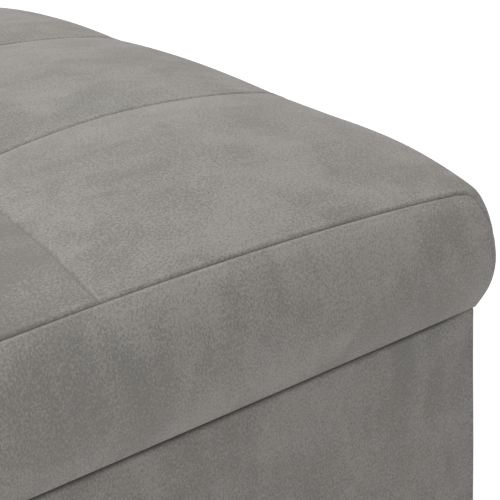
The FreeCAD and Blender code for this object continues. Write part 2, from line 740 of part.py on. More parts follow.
def seat():
    across = "half_width - cover_thickness - board_inset"
    along = "half_depth - cover_thickness - board_inset"
    board = box("lid_board_blank", (f"-({across})", across), (f"-({along})", along),
                ("board_low", "board_high"))
    keep(cut("lid_board", board, lid_screw_group, flange_screw_group))
    ties = []
    top = "lid_level + row_seam_height - tuft_dip - cover_thickness - tie_clearance"
    for index, seam in enumerate(ROW_SEAMS, start=1):
        place = (f"{seam} * row_pitch", "0", "board_high")
        ties.append(rod(f"tuft_tie_{index}", place, "+z", "tie_radius", f"{top} - board_high"))
    tie_group = keep(group("tuft_ties", ties))
    foam_across = "half_width - foam_inset"
    foam_along = "half_depth - foam_inset"
    foam = box("seat_foam_block", (f"-({foam_across})", foam_across), (f"-({foam_along})", foam_along),
               ("board_high", "foam_high"))
    keep(cut("seat_foam", foam, tie_group))
    inner = feature("seat_filling", cushion_form(number("cover_thickness")))
    outer = feature("seat_outside", cushion_form(0))
    keep(cut("seat_wadding", inner, board, foam, tie_group))
    opening_x = "half_width - lid_hem"
    opening_y = "half_depth - lid_hem"
    opening = box("seat_cover_opening", (f"-({opening_x})", opening_x), (f"-({opening_y})", opening_y),
                  ("lid_level", "board_low"))
    shell = cut("seat_cover_shell", outer, inner, opening, lid_screw_group)
    seam_x = "half_width - edge_seam_inset"
    far_x = "half_width + 2 * side_bulge"
    far_y = "half_depth + 2 * side_bulge"
    height = ("lid_level", "lid_level + row_seam_height + 2 * row_puff")
    spans = {
        "seat_cover_left": (f"-({far_x})", f"-({seam_x})"),
        "seat_cover_top": (f"-({seam_x})", seam_x),
        "seat_cover_right": (seam_x, far_x),
    }
    for label, span in spans.items():
        piece = new("Part::MultiCommon", label)
        piece.Shapes = [shell, box(label + "_room", span, (f"-({far_y})", far_y), height)]
        keep(piece)
    liner_x = f"{opening_x} - liner_gap"
    liner_y = f"{opening_y} - liner_gap"
    liner = box("lid_liner_blank", (f"-({liner_x})", liner_x), (f"-({liner_y})", liner_y),
                ("lid_level", "board_low"))
    keep(cut("lid_liner", liner, lid_screw_group, flange_screw_group))


# Lid bumpers: rubber pads under the lid's corners that rest on the rim
def lid_bumpers():
    pads = []
    for end, way in ENDS:
        for side, sign in SIDES:
            place = (on_side(sign, "panel_mid_x"), on_side(way, "panel_mid_y"), "rim_level")
            pads.append(rod(f"lid_bumper_{end}_{side}", place, "+z", "bumper_radius", "lid_gap"))
    keep(group("lid_bumpers", pads))


box_panels()
corner_blocks()
box_floor()
base_cover()
storage_liner()
dust_cover()
feet()
hinges()
stays()
seat()
lid_bumpers()
doc.recompute()

for item in doc.Objects:
    if "Invalid" in item.State or "Error" in item.State:
        raise RuntimeError(f"{item.Label} failed: {item.State}")
for node in nodes:
    if node.Shape.isNull() or not node.Shape.isValid() or not node.Shape.Solids:
        raise RuntimeError(f"{node.Label} has no valid solid")

os.makedirs("parts", exist_ok=True)
for node in nodes:
    node.Shape.exportStep(f"parts/{node.Label}.step")
print(f"{len(nodes)} sub-parts written")
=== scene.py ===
"""Storage ottoman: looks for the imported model, in metres and in the frame of the CAD part.

The file follows the ottoman as it is put together: the wooden box, its velvet, lining and feet, the hinges
and stays, then the quilted seat lid, and last the studio it stands in.
"""

import math

import bpy
import numpy as np
from mathutils import Matrix, Vector, kdtree


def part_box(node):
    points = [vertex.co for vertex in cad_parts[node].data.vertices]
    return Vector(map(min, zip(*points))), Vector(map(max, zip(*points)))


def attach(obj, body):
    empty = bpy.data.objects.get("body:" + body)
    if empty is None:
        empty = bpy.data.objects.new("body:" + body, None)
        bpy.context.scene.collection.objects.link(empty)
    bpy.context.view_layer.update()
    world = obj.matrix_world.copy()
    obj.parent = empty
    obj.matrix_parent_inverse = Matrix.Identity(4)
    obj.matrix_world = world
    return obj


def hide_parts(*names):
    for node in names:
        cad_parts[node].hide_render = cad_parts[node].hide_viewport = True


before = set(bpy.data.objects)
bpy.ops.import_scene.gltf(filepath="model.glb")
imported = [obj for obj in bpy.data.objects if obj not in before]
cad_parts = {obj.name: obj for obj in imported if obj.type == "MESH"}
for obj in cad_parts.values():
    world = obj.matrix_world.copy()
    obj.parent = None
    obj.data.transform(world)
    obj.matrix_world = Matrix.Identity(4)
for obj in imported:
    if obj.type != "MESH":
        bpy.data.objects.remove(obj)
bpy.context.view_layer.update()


# Box panels, floor and lid board: plain plywood sheets, sawn and screwed together. They are covered by the
# velvet and the lining. The face grain runs along each sheet's longer side.
MIX_SHARE, MIX_FIRST, MIX_SECOND, MIX_RESULT = 0, 6, 7, 2


def node(tree, kind, settings=(), inputs=()):
    """Add a node; each input is a plain value, or an output socket to link from."""
    made = tree.nodes.new(kind)
    for name, value in dict(settings).items():
        setattr(made, name, value)
    for key, value in dict(inputs).items():
        if isinstance(value, bpy.types.NodeSocket):
            tree.links.new(value, made.inputs[key])
        else:
            made.inputs[key].default_value = value
    return made


def node_group(name, place, colours, amounts=(), outputs=("Colour", "Height")):
    """Empty shader group with named sockets; gives its tree, its inputs and its outputs."""
    tree = bpy.data.node_groups.new(name, "ShaderNodeTree")
    kinds = {place: "NodeSocketVector", **dict.fromkeys(colours, "NodeSocketColor"),
             **dict.fromkeys(amounts, "NodeSocketFloat")}
    for label, kind in kinds.items():
        tree.interface.new_socket(label, in_out="INPUT", socket_type=kind)
    for label in outputs:
        kind = "NodeSocketColor" if label == "Colour" else "NodeSocketFloat"
        tree.interface.new_socket(label, in_out="OUTPUT", socket_type=kind)
    return tree, tree.nodes.new("NodeGroupInput").outputs, tree.nodes.new("NodeGroupOutput").inputs


def feed(sockets, varying):
    """Link what varies over a surface to the sockets of the same names."""
    for label, value in varying.items():
        value.id_data.links.new(value, sockets[label])


def blend_colours(share, first, second):
    """Colour at a share of the way from the first to the second."""
    mixed = node(share.id_data, "ShaderNodeMix", {"data_type": "RGBA"},
                 {MIX_SHARE: share, MIX_FIRST: first, MIX_SECOND: second})
    return mixed.outputs[MIX_RESULT]


def weigh(operation, first, second):
    """One sum of two values, by the name of the operation."""
    return node(first.id_data, "ShaderNodeMath", {"operation": operation}, {0: first, 1: second}).outputs[0]


def in_shares(*parts, start=0.0):
    """Sum of values, each times its share, counted from a start."""
    total = start
    for value, share in parts:
        added = node(value.id_data, "ShaderNodeMath", {"operation": "MULTIPLY_ADD"},
                     {0: value, 1: share, 2: total})
        total = added.outputs[0]
    return total


def stretch(value, low, high):
    """Spread the band from low to high over 0 to 1."""
    ranged = node(value.id_data, "ShaderNodeMapRange", {"interpolation_type": "SMOOTHSTEP"},
                  {"Value": value, "From Min": low, "From Max": high})
    return ranged.outputs["Result"]


def noise(place, scale, detail=2.0, twist=0.0):
    """Noise over a place; a scale for each axis draws it out into streaks."""
    tree = place.id_data
    if not isinstance(scale, float):
        place = node(tree, "ShaderNodeMapping", (), {"Vector": place, "Scale": scale}).outputs["Vector"]
        scale = 1.0
    made = node(tree, "ShaderNodeTexNoise", {"noise_dimensions": "3D"},
                {"Vector": place, "Scale": scale, "Detail": detail, "Distortion": twist})
    return made.outputs["Fac"]


def finish_material(name, principled, bump_strength, bump_depth, coordinates="Object"):
    """Material with one Principled shader; gives it, its coordinates and the sockets to feed."""
    made = bpy.data.materials.new(name)
    made.use_nodes = True
    tree = made.node_tree
    shader = tree.nodes["Principled BSDF"]
    for label, value in principled.items():
        shader.inputs[label].default_value = value
    place = node(tree, "ShaderNodeTexCoord").outputs[coordinates]
    bump = node(tree, "ShaderNodeBump", (), {"Strength": bump_strength, "Distance": bump_depth})
    tree.links.new(bump.outputs["Normal"], shader.inputs["Normal"])
    sockets = {"Colour": shader.inputs["Base Color"], "Roughness": shader.inputs["Roughness"],
               "Height": bump.inputs["Height"]}
    return made, place, sockets


def paint(names, material):
    """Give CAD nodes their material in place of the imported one."""
    for name in names:
        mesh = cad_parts[name].data
        mesh.materials.clear()
        mesh.materials.append(material)


timber_tree, timber_in, timber_out = node_group("timber_grain", "Place", ("Early wood", "Late wood"))
grain_warp = noise(timber_in["Place"], scale=(6, 60, 60), detail=3, twist=0.6)
grain_lines = noise(timber_in["Place"], scale=(14, 420, 420), detail=3, twist=0.3)
grain_share = stretch(in_shares((grain_warp, 0.65), (grain_lines, 0.35)),
                      low=0.36, high=0.64)
feed(timber_out, {
    "Colour": blend_colours(grain_share, timber_in["Early wood"], timber_in["Late wood"]),
    "Height": grain_lines})


def timber(name, early, late, turn):
    """Sawn wood whose grain runs along X, or along Y when turned."""
    made, place, sockets = finish_material(name, {"Roughness": 0.7}, bump_strength=0.25, bump_depth=0.0004)
    turned = node(made.node_tree, "ShaderNodeMapping", (),
                  {"Vector": place, "Rotation": (0, 0, math.radians(turn))})
    grain = node(made.node_tree, "ShaderNodeGroup", {"node_tree": timber_tree},
                 {"Place": turned.outputs["Vector"], "Early wood": early, "Late wood": late})
    feed(sockets, grain.outputs)
    return made


PLYWOOD_PALE, PLYWOOD_DARK = (0.66, 0.50, 0.32, 1), (0.52, 0.37, 0.21, 1)
LENGTHWISE, CROSSWISE = 0, 90
paint(["front_panel", "back_panel", "floor_panel", "lid_board"],
      timber("plywood_lengthwise", PLYWOOD_PALE, PLYWOOD_DARK, LENGTHWISE))
paint(["left_panel", "right_panel"], timber("plywood_crosswise", PLYWOOD_PALE, PLYWOOD_DARK, CROSSWISE))


# Corner blocks and floor cleats: sawn softwood glued into the foot of the box, under its floor. The blocks
# take the foot screws, and the cleats carry the floor.
SIDES = ("left", "right")
CORNERS = [f"{end}_{side}" for end in ("front", "back") for side in SIDES]
PINE_PALE, PINE_DARK = (0.74, 0.58, 0.37, 1), (0.60, 0.41, 0.22, 1)
paint([f"corner_block_{corner}" for corner in CORNERS] + ["floor_cleat_front", "floor_cleat_back"],
      timber("pine_lengthwise", PINE_PALE, PINE_DARK, LENGTHWISE))
paint(["floor_cleat_left", "floor_cleat_right"], timber("pine_crosswise", PINE_PALE, PINE_DARK, CROSSWISE))


# Screws: zinc plated steel with cross recesses and rolled threads. The frame screws lie under the velvet;
# those of the feet, hinges and stays show. One tree of nodes drives a screw in at every point of a set.
plating_tree, plating_in, plating_out = node_group(
    "zinc_plating", "Place", ("Metal", "Dull metal"), outputs=("Colour", "Roughness", "Height"))
plating_cloud = noise(plating_in["Place"], scale=180.0, detail=3)
plating_lines = noise(plating_in["Place"], scale=(2600, 160, 2600), detail=2)
plating_share = stretch(plating_cloud, low=0.35, high=0.7)
feed(plating_out, {
    "Colour": blend_colours(plating_share, plating_in["Metal"], plating_in["Dull metal"]),
    "Roughness": in_shares((plating_cloud, 0.25), (plating_lines, 0.3)),
    "Height": plating_lines})


def plated_steel(name, bright, dull):
    """Zinc plated steel from two greys."""
    made, place, sockets = finish_material(name, {"Metallic": 1.0}, bump_strength=0.08, bump_depth=0.0002)
    plating = node(made.node_tree, "ShaderNodeGroup", {"node_tree": plating_tree},
                   {"Place": place, "Metal": bright, "Dull metal": dull})
    feed(sockets, plating.outputs)
    return made


zinc = plated_steel("zinc_screws", (0.62, 0.62, 0.64, 1), (0.44, 0.44, 0.46, 1))
paint(["frame_screws"], zinc)

PAN_HEAD = {"Head radius": 0.005, "Head foot radius": 0.005, "Head height": 0.003, "Head offset": 0.0,
            "Shank radius": 0.0022, "Shank length": 0.0262, "Thread pitch": 0.0018}
SUNK_HEAD = {"Head radius": 0.0028, "Head foot radius": 0.0015, "Head height": 0.0014, "Head offset": -0.0014,
             "Shank radius": 0.0015, "Thread pitch": 0.0012}
HEAD_SIDES = 24
SHANK_SIDES = 12
WIRE_SIDES = 4
THREAD_STEPS = 14
RECESS = dict(arm=0.55, width=0.17, depth=0.6)
THREAD = dict(core=0.8, coil=0.85, wire=0.15)
screw_tree = bpy.data.node_groups.new("driven_screws", "GeometryNodeTree")
screw_kinds = {"Geometry": "NodeSocketGeometry", **dict.fromkeys(PAN_HEAD, "NodeSocketFloat"),
               "Steel": "NodeSocketMaterial"}
screw_sockets = {label: screw_tree.interface.new_socket(label, in_out="INPUT", socket_type=kind)
                 for label, kind in screw_kinds.items()}
screw_tree.interface.new_socket("Geometry", in_out="OUTPUT", socket_type="NodeSocketGeometry")
screw_in = screw_tree.nodes.new("NodeGroupInput").outputs


def scaled(size, share):
    """One of the screw's sizes times a plain number."""
    return weigh("MULTIPLY", screw_in[size], share)


def lifted(geometry, height):
    """Geometry moved along Z by the value of a socket."""
    offset = node(screw_tree, "ShaderNodeCombineXYZ", (), {"Z": height}).outputs[0]
    moved = node(screw_tree, "GeometryNodeTransform", (), {"Geometry": geometry, "Translation": offset})
    return moved.outputs["Geometry"]


def joined(parts):
    """Geometry of several parts in one."""
    whole = screw_tree.nodes.new("GeometryNodeJoinGeometry")
    for part in parts:
        screw_tree.links.new(part, whole.inputs[0])
    return whole.outputs[0]


head = node(screw_tree, "GeometryNodeMeshCone", (), {
    "Vertices": HEAD_SIDES, "Radius Top": screw_in["Head radius"],
    "Radius Bottom": screw_in["Head foot radius"], "Depth": screw_in["Head height"]})
head_top = weigh("ADD", screw_in["Head offset"], screw_in["Head height"])
slot_length = scaled("Head radius", 2 * RECESS["arm"])
slot_width = scaled("Head radius", 2 * RECESS["width"])
slot_depth = scaled("Head height", 2 * RECESS["depth"])
slots = []
for across, along in ((slot_length, slot_width), (slot_width, slot_length)):
    size = node(screw_tree, "ShaderNodeCombineXYZ", (), {"X": across, "Y": along, "Z": slot_depth})
    bar = node(screw_tree, "GeometryNodeMeshCube", (), {"Size": size.outputs[0]})
    slots.append(lifted(bar.outputs["Mesh"], head_top))
crossed = node(screw_tree, "GeometryNodeMeshBoolean", {"operation": "DIFFERENCE"}, {
    "Mesh 1": lifted(head.outputs["Mesh"], screw_in["Head offset"]), "Mesh 2": joined(slots)})
shank = node(screw_tree, "GeometryNodeMeshCylinder", (), {
    "Vertices": SHANK_SIDES, "Radius": scaled("Shank radius", THREAD["core"]),
    "Depth": screw_in["Shank length"]})
coil_radius = scaled("Shank radius", THREAD["coil"])
helix = node(screw_tree, "GeometryNodeCurveSpiral", (), {
    "Resolution": THREAD_STEPS, "Start Radius": coil_radius, "End Radius": coil_radius,
    "Rotations": weigh("DIVIDE", screw_in["Shank length"], screw_in["Thread pitch"]),
    "Height": screw_in["Shank length"]})
wire = node(screw_tree, "GeometryNodeCurvePrimitiveCircle", (), {
    "Resolution": WIRE_SIDES, "Radius": scaled("Shank radius", THREAD["wire"])})
thread = node(screw_tree, "GeometryNodeCurveToMesh", (), {
    "Curve": helix.outputs["Curve"], "Profile Curve": wire.outputs["Curve"], "Fill Caps": True})
screw = joined((crossed.outputs["Mesh"],
                lifted(shank.outputs["Mesh"], scaled("Shank length", -0.5)),
                lifted(thread.outputs["Mesh"], scaled("Shank length", -1.0))))
turn = node(screw_tree, "GeometryNodeInputNamedAttribute", {"data_type": "FLOAT_VECTOR"}, {"Name": "turn"})
placed = node(screw_tree, "GeometryNodeInstanceOnPoints", (), {
    "Points": screw_in["Geometry"], "Instance": screw, "Rotation": turn.outputs["Attribute"]})
realized = node(screw_tree, "GeometryNodeRealizeInstances", (), {"Geometry": placed.outputs["Instances"]})
coated = node(screw_tree, "GeometryNodeSetMaterial", (), {
    "Geometry": realized.outputs["Geometry"], "Material": screw_in["Steel"]})
node(screw_tree, "NodeGroupOutput", (), {"Geometry": coated.outputs["Geometry"]})


def linked(name, mesh):
    """Object of a mesh, a light or a camera, put in the scene."""
    made = bpy.data.objects.new(name, mesh)
    bpy.context.scene.collection.objects.link(made)
    return made


def drive_screws(name, places, sizes, body):
    """One object of screws; a place is a point and the direction that the head faces."""
    points, facings = zip(*places)
    mesh = bpy.data.meshes.new(name + "_points")
    mesh.from_pydata(points, [], [])
    turns = mesh.attributes.new("turn", "FLOAT_VECTOR", "POINT")
    for row, facing in zip(turns.data, facings):
        row.vector = Vector(facing).to_track_quat("Z", "Y").to_euler()
    carrier = linked(name + "_carrier", mesh)
    driven = carrier.modifiers.new("driven", "NODES")
    driven.node_group = screw_tree
    for label, value in {**sizes, "Steel": zinc}.items():
        driven[screw_sockets[label].identifier] = value
    ready = carrier.evaluated_get(bpy.context.evaluated_depsgraph_get())
    screws = linked(name + "_driven", bpy.data.meshes.new_from_object(ready))
    bpy.data.objects.remove(carrier)
    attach(screws, body)
    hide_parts(name)


def sunk_head(length):
    """Countersunk screw whose head is level with its plate."""
    return {**SUNK_HEAD, "Shank length": length}


UP, DOWN = (0, 0, 1), (0, 0, -1)
MIRRORED = (-1, 1)
FOOT_SPOT = (0.357, 0.142)
FOOT_SEAT = 0.006
HINGE_SPOT = 0.215
HINGE_PITCH = 0.017
HINGE_LINE = 0.1805
RIM_LEAF_TOP, LID_LEAF_FOOT = 0.2824, 0.2826
RIM_SCREW, LID_SCREW, WALL_SCREW = 0.018, 0.011, 0.013
STAY_PLATE_FACE = 0.385
STAY_BASE_SCREWS = ((0.1186, 0.2114), (0.1186, 0.1864), (0.0936, 0.1864))
STAY_FLANGE = (0.3669, 0.282)
STAY_FLANGE_SCREWS = (0.0296, 0.0576)
hinge_spots = [x * HINGE_SPOT + step * HINGE_PITCH for x in MIRRORED for step in (-1, 0, 1)]
drive_screws("foot_screws", [((x * FOOT_SPOT[0], y * FOOT_SPOT[1], FOOT_SEAT), DOWN)
                             for x in MIRRORED for y in MIRRORED], PAN_HEAD, "base")
drive_screws("hinge_base_screws", [((x, HINGE_LINE, RIM_LEAF_TOP), UP) for x in hinge_spots],
             sunk_head(RIM_SCREW), "base")
drive_screws("hinge_lid_screws", [((x, HINGE_LINE, LID_LEAF_FOOT), DOWN) for x in hinge_spots],
             sunk_head(LID_SCREW), "lid")
drive_screws("stay_base_screws", [((x * STAY_PLATE_FACE, y, z), (-x, 0, 0))
                                  for x in MIRRORED for y, z in STAY_BASE_SCREWS],
             sunk_head(WALL_SCREW), "base")
drive_screws("stay_lid_screws", [((x * STAY_FLANGE[0], y, STAY_FLANGE[1]), DOWN)
                                 for x in MIRRORED for y in STAY_FLANGE_SCREWS],
             sunk_head(LID_SCREW), "lid")


# Base cover: one band of brushed velvet drawn round the box, turned over the rim and under the bottom edge
# and stapled there. It is sewn at the upright corners, where a narrow seam shows, and its fold stands a
# little higher than the rim there.
PALE_PILE, DEEP_PILE, COOL_PILE = (0.325, 0.309, 0.290), (0.225, 0.212, 0.197), (0.205, 0.212, 0.198)
# Lighter colour of the painted highlight along the near lip of the row seams.
SEAM_HIGHLIGHT_COLOUR = (0.42, 0.401, 0.378, 1)
VELVET_SHADER = {"Roughness": 0.92, "Specular IOR Level": 0.15, "Sheen Weight": 0.22,
                 "Sheen Roughness": 0.45, "Sheen Tint": (0.95, 0.94, 0.92, 1)}
# The base's copy of the velvet is painted darker than the seat's, as painted shade.
BASE_PAINTED_SHADE = 0.95
nap_tree, nap_in, nap_out = node_group("brushed_nap", "Cloth", ("Pale pile", "Deep pile", "Cool pile"),
                                       amounts=("Painted highlight", "Painted shade"))
nap_cloth = nap_in["Cloth"]
nap_patches = noise(nap_cloth, scale=24.0, detail=3, twist=0.8)
nap_strokes = noise(nap_cloth, scale=(60, 22, 40), detail=3, twist=1.2)
nap_tufts = noise(nap_cloth, scale=(300, 190, 240), detail=2, twist=0.4)
nap_fibres = noise(nap_cloth, scale=(1250, 680, 900), detail=2, twist=0.2)
nap_points = noise(nap_cloth, scale=1150.0, detail=1)
nap_cool = noise(nap_cloth, scale=(34, 26, 30), detail=2, twist=0.7)
pile = in_shares((nap_fibres, 0.50), (nap_points, 0.38), (nap_tufts, 0.12))
# The painted shade input darkens the pile's colour.
nap_share = in_shares((stretch(nap_patches, low=0.32, high=0.68), 0.50),
                      (stretch(nap_strokes, low=0.3, high=0.7), 0.36),
                      (stretch(pile, low=0.34, high=0.66), 1.3),
                      (nap_in["Painted shade"], -1.0), start=-0.58)
cool_share = in_shares((stretch(nap_cool, low=0.54, high=0.70), 0.55))
pile_colour = blend_colours(nap_share, nap_in["Deep pile"], nap_in["Pale pile"])
cool_colour = blend_colours(nap_share, nap_in["Cool pile"], pile_colour)
nap_colour = blend_colours(cool_share, pile_colour, cool_colour)
# The painted highlight input lightens the colour towards the highlight colour.
feed(nap_out, {
    "Colour": blend_colours(nap_in["Painted highlight"], nap_colour, SEAM_HIGHLIGHT_COLOUR), "Height": pile})


def velvet(name, light_scale, cut_from):
    """Short brushed velvet on the cloth's own lengths, cut from the given place on the roll.

    Two values at the cloth's points, where it has them, add a painted highlight and painted shade. The
    light scale paints all its colours lighter or darker.
    """
    made, place, sockets = finish_material(name, VELVET_SHADER, bump_strength=0.7, bump_depth=0.0008,
                                        coordinates="UV")
    on_roll = node(made.node_tree, "ShaderNodeMapping", (), {"Vector": place, "Location": cut_from})
    inputs = {"Cloth": on_roll.outputs["Vector"]}
    for label, colour in (("Pale pile", PALE_PILE), ("Deep pile", DEEP_PILE), ("Cool pile", COOL_PILE)):
        inputs[label] = [light_scale * part for part in colour] + [1]
    for label, kept_as in (("Painted highlight", "painted_seam_highlight"), ("Painted shade", "painted_shade")):
        kept = node(made.node_tree, "ShaderNodeAttribute", {"attribute_name": kept_as})
        inputs[label] = kept.outputs["Fac"]
    feed(sockets, node(made.node_tree, "ShaderNodeGroup", {"node_tree": nap_tree}, inputs).outputs)
    return made


def cloth_mesh(name, points, faces, lengths):
    """Smooth mesh with the cloth's own lengths at every face corner as its UV map."""
    mesh = bpy.data.meshes.new(name)
    mesh.from_pydata(points.reshape(-1, 3).tolist(), [], faces)
    chart = mesh.uv_layers.new(name="cloth")
    chart.data.foreach_set("uv", np.asarray(lengths, np.float32).ravel())
    mesh.polygons.foreach_set("use_smooth", [True] * len(faces))
    mesh.update()
    return mesh


def grid_corners(rows, columns, closed_along=False, closed_across=False):
    """Row and column of each face's four corners on a grid, counted on past the last where it closes."""
    i, j = np.meshgrid(np.arange(rows - (not closed_along)), np.arange(columns - (not closed_across)),
                       indexing="ij")
    steps = ((0, 0), (1, 0), (1, 1), (0, 1))
    return np.stack([np.stack([i + down, j + over], axis=-1) for down, over in steps], axis=2)


def grid_faces(corners, rows, columns):
    return (corners[..., 0] % rows * columns + corners[..., 1] % columns).reshape(-1, 4).tolist()


def grid_mesh(name, points, along, across, closed_along=False, closed_across=False):
    """Cloth over rows of points, with its running lengths along and across."""
    rows, columns = points.shape[:2]
    corners = grid_corners(rows, columns, closed_along, closed_across)
    lengths = np.stack([along[corners[..., 0]], across[corners[..., 1]]], axis=-1)
    return cloth_mesh(name, points, grid_faces(corners, rows, columns), lengths)


def lengths_of(points, closed):
    """Running length along a line of points, one more than the points when the line is closed."""
    line = np.vstack([points, points[:1]]) if closed else points
    return np.concatenate([[0], np.cumsum(np.linalg.norm(np.diff(line, axis=0), axis=1))])


def ring_of(half_length, half_depth, corner, stops, turns):
    """Rounded rectangle seen from above; stops are shares of each straight side, turns count per corner."""
    runs = (half_length - corner, half_depth - corner)
    reaches = (half_depth, half_length)
    ring = []
    for index, heading in enumerate(np.array([(1, 0), (0, 1), (-1, 0), (0, -1)], float)):
        outward = np.array([heading[1], -heading[0]])
        run, reach = runs[index % 2], reaches[index % 2]
        ring += [heading * share * run + outward * reach for share in stops[index % 2]]
        centre = heading * run + outward * (reach - corner)
        for turn in np.linspace(0, np.pi / 2, turns + 2)[1:-1]:
            ring.append(centre + corner * (outward * np.cos(turn) + heading * np.sin(turn)))
    return np.array(ring)


def ripple(places, first, second, start=0.0):
    """Irregular waves over places, from two waves' turns in a metre along each axis."""
    return np.sin(places @ np.array(first)) * np.sin(places @ np.array(second) + start)


MM = 0.001
base_low, base_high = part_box("base_cover")
half_length, half_depth = base_high.x, base_high.y
bottom, rim = base_low.z, base_high.z
BAND_THICK = 0.0018
BAND_SLACK = 0.00025
BAND_WAVES = ((41, 0, 23), (0, 29, 37))
BOARD_THICK = 0.019
RIM_ROUND = 0.0015
CORNER_ROUND = 0.0014
LEAST_ROUND = 0.0004
ROUND_CUT = 0.3
BASE_SEAM = dict(depth=0.0011, width=0.0005)
BASE_LIP = dict(rise=0.0010, away=0.0013, width=0.0007)
CORNER_FOLD = dict(rise=0.0017, reach=0.012, depth=0.004)
RIM_HEM = 0.030
UNDER_HEM = 0.026
CORNER_TURNS = 11
EDGE_TURNS = 5
WALL_FOOT, WALL_TOP, WALL_ROWS = 0.012, 0.010, 24
BAND_STEP = 0.014
CORNER_STEPS = np.array([0, 0.25, 0.5, 0.8, 1.2, 1.7, 2.4, 3.5, 6, 10, 16]) * MM


def side_stops(half):
    """Shares of a straight side, closer together near its corners."""
    run = half - CORNER_ROUND
    clear = run - CORNER_STEPS[-1]
    middle = np.linspace(-clear, clear, int(2 * run / BAND_STEP))
    return np.unique(np.round(np.concatenate([-run + CORNER_STEPS, middle, run - CORNER_STEPS]), 6)) / run


def rounded(offset, level, inward, upward):
    """Quarter circle of profile points about a centre, from along the first direction to the second."""
    return [(offset + RIM_ROUND * (inward[0] * math.cos(turn) + upward[0] * math.sin(turn)),
             level + RIM_ROUND * (inward[1] * math.cos(turn) + upward[1] * math.sin(turn)))
            for turn in np.linspace(0, math.pi / 2, EDGE_TURNS)]


band = [(UNDER_HEM, bottom)]
band += rounded(RIM_ROUND, bottom + RIM_ROUND, (0, -1), (-1, 0))
band += [(0.0, level) for level in np.linspace(bottom + WALL_FOOT, rim - WALL_TOP, WALL_ROWS)]
band += rounded(RIM_ROUND, rim - RIM_ROUND, (-1, 0), (0, 1))
band += rounded(BOARD_THICK - RIM_ROUND, rim - RIM_ROUND, (0, 1), (1, 0))
band += [(BOARD_THICK, rim - RIM_HEM / 2), (BOARD_THICK, rim - RIM_HEM)]
band += [(BOARD_THICK - BAND_THICK, rim - RIM_HEM), (BOARD_THICK - BAND_THICK, rim - BAND_THICK),
         (BAND_THICK, rim - BAND_THICK), (BAND_THICK, bottom + BAND_THICK), (UNDER_HEM, bottom + BAND_THICK)]
band_stops = (side_stops(half_length), side_stops(half_depth))
outer_ring = ring_of(half_length, half_depth, CORNER_ROUND, band_stops, CORNER_TURNS)
seam_reach = (half_length - ROUND_CUT * CORNER_ROUND, half_depth - ROUND_CUT * CORNER_ROUND)
corner_spots = np.array([(x * seam_reach[0], y * seam_reach[1]) for x in MIRRORED for y in MIRRORED])
from_corner = np.linalg.norm(outer_ring[:, None] - corner_spots[None], axis=2).min(axis=1)
fold_rise = CORNER_FOLD["rise"] * np.exp(-(from_corner / CORNER_FOLD["reach"]) ** 2)
dent = BASE_SEAM["depth"] * np.exp(-(from_corner / BASE_SEAM["width"]) ** 2)
dent -= BASE_LIP["rise"] * np.exp(-((from_corner - BASE_LIP["away"]) / BASE_LIP["width"]) ** 2)
band_points = []
for inset, level in band:
    ring = ring_of(half_length - inset, half_depth - inset, max(CORNER_ROUND - inset, LEAST_ROUND),
                   band_stops, CORNER_TURNS)
    levels = np.full(len(ring), level)
    if inset < RIM_ROUND:
        slack = BAND_SLACK * ripple(np.column_stack([outer_ring, levels]), *BAND_WAVES)
        ring = ring * (1 - (dent - slack) / np.linalg.norm(ring, axis=1))[:, None]
    if level > rim - CORNER_FOLD["depth"]:
        levels = levels + fold_rise
    band_points.append(np.column_stack([ring, levels]))
band_points = np.array(band_points).transpose(1, 0, 2)
base_velvet = linked("base_velvet", grid_mesh(
    "base_velvet", band_points, lengths_of(outer_ring, True),
    lengths_of(np.array(band), True), closed_along=True, closed_across=True))
base_velvet.data.materials.append(velvet("base_velvet", BASE_PAINTED_SHADE, cut_from=(0.0, 0.0, 0.0)))
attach(base_velvet, "base")
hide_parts("base_cover")


# Storage liner: black non-woven cloth glued to the floor and the walls of the box, up to the hem of the
# velvet. It bends round the foot of the walls in a small curve and is pressed with a fine pattern of dots.
spun_tree, spun_in, spun_out = node_group("spun_cloth", "Place", ("Fibre", "Pressed dot"))
spun_dots = node(spun_tree, "ShaderNodeTexVoronoi", {"feature": "F1"},
                 {"Vector": spun_in["Place"], "Scale": 560.0, "Randomness": 0.25}).outputs["Distance"]
spun_fibres = noise(spun_in["Place"], scale=900.0, detail=3, twist=1.5)
spun_clouds = noise(spun_in["Place"], scale=28.0, detail=3)
spun_share = in_shares((stretch(spun_dots, low=0.15, high=0.5), 0.45),
                       (spun_fibres, 0.25), (spun_clouds, 0.30))
feed(spun_out, {
    "Colour": blend_colours(spun_share, spun_in["Pressed dot"], spun_in["Fibre"]),
    "Height": in_shares((spun_dots, 1.0), (spun_fibres, 0.4))})


def spun_cloth(name, fibre, pressed):
    """Non-woven cloth from the colours of its fibres and of its pressed dots."""
    made, place, sockets = finish_material(
        name, {"Roughness": 0.85, "Specular IOR Level": 0.25, "Sheen Weight": 0.15, "Sheen Roughness": 0.5},
        bump_strength=0.4, bump_depth=0.0003)
    spun = node(made.node_tree, "ShaderNodeGroup", {"node_tree": spun_tree},
                {"Place": place, "Fibre": fibre, "Pressed dot": pressed})
    feed(sockets, spun.outputs)
    return made


def thicken(piece, thickness):
    """Give a sheet its thickness, behind its faces."""
    wall = piece.modifiers.new("wall", "SOLIDIFY")
    wall.thickness = thickness
    wall.offset = -1


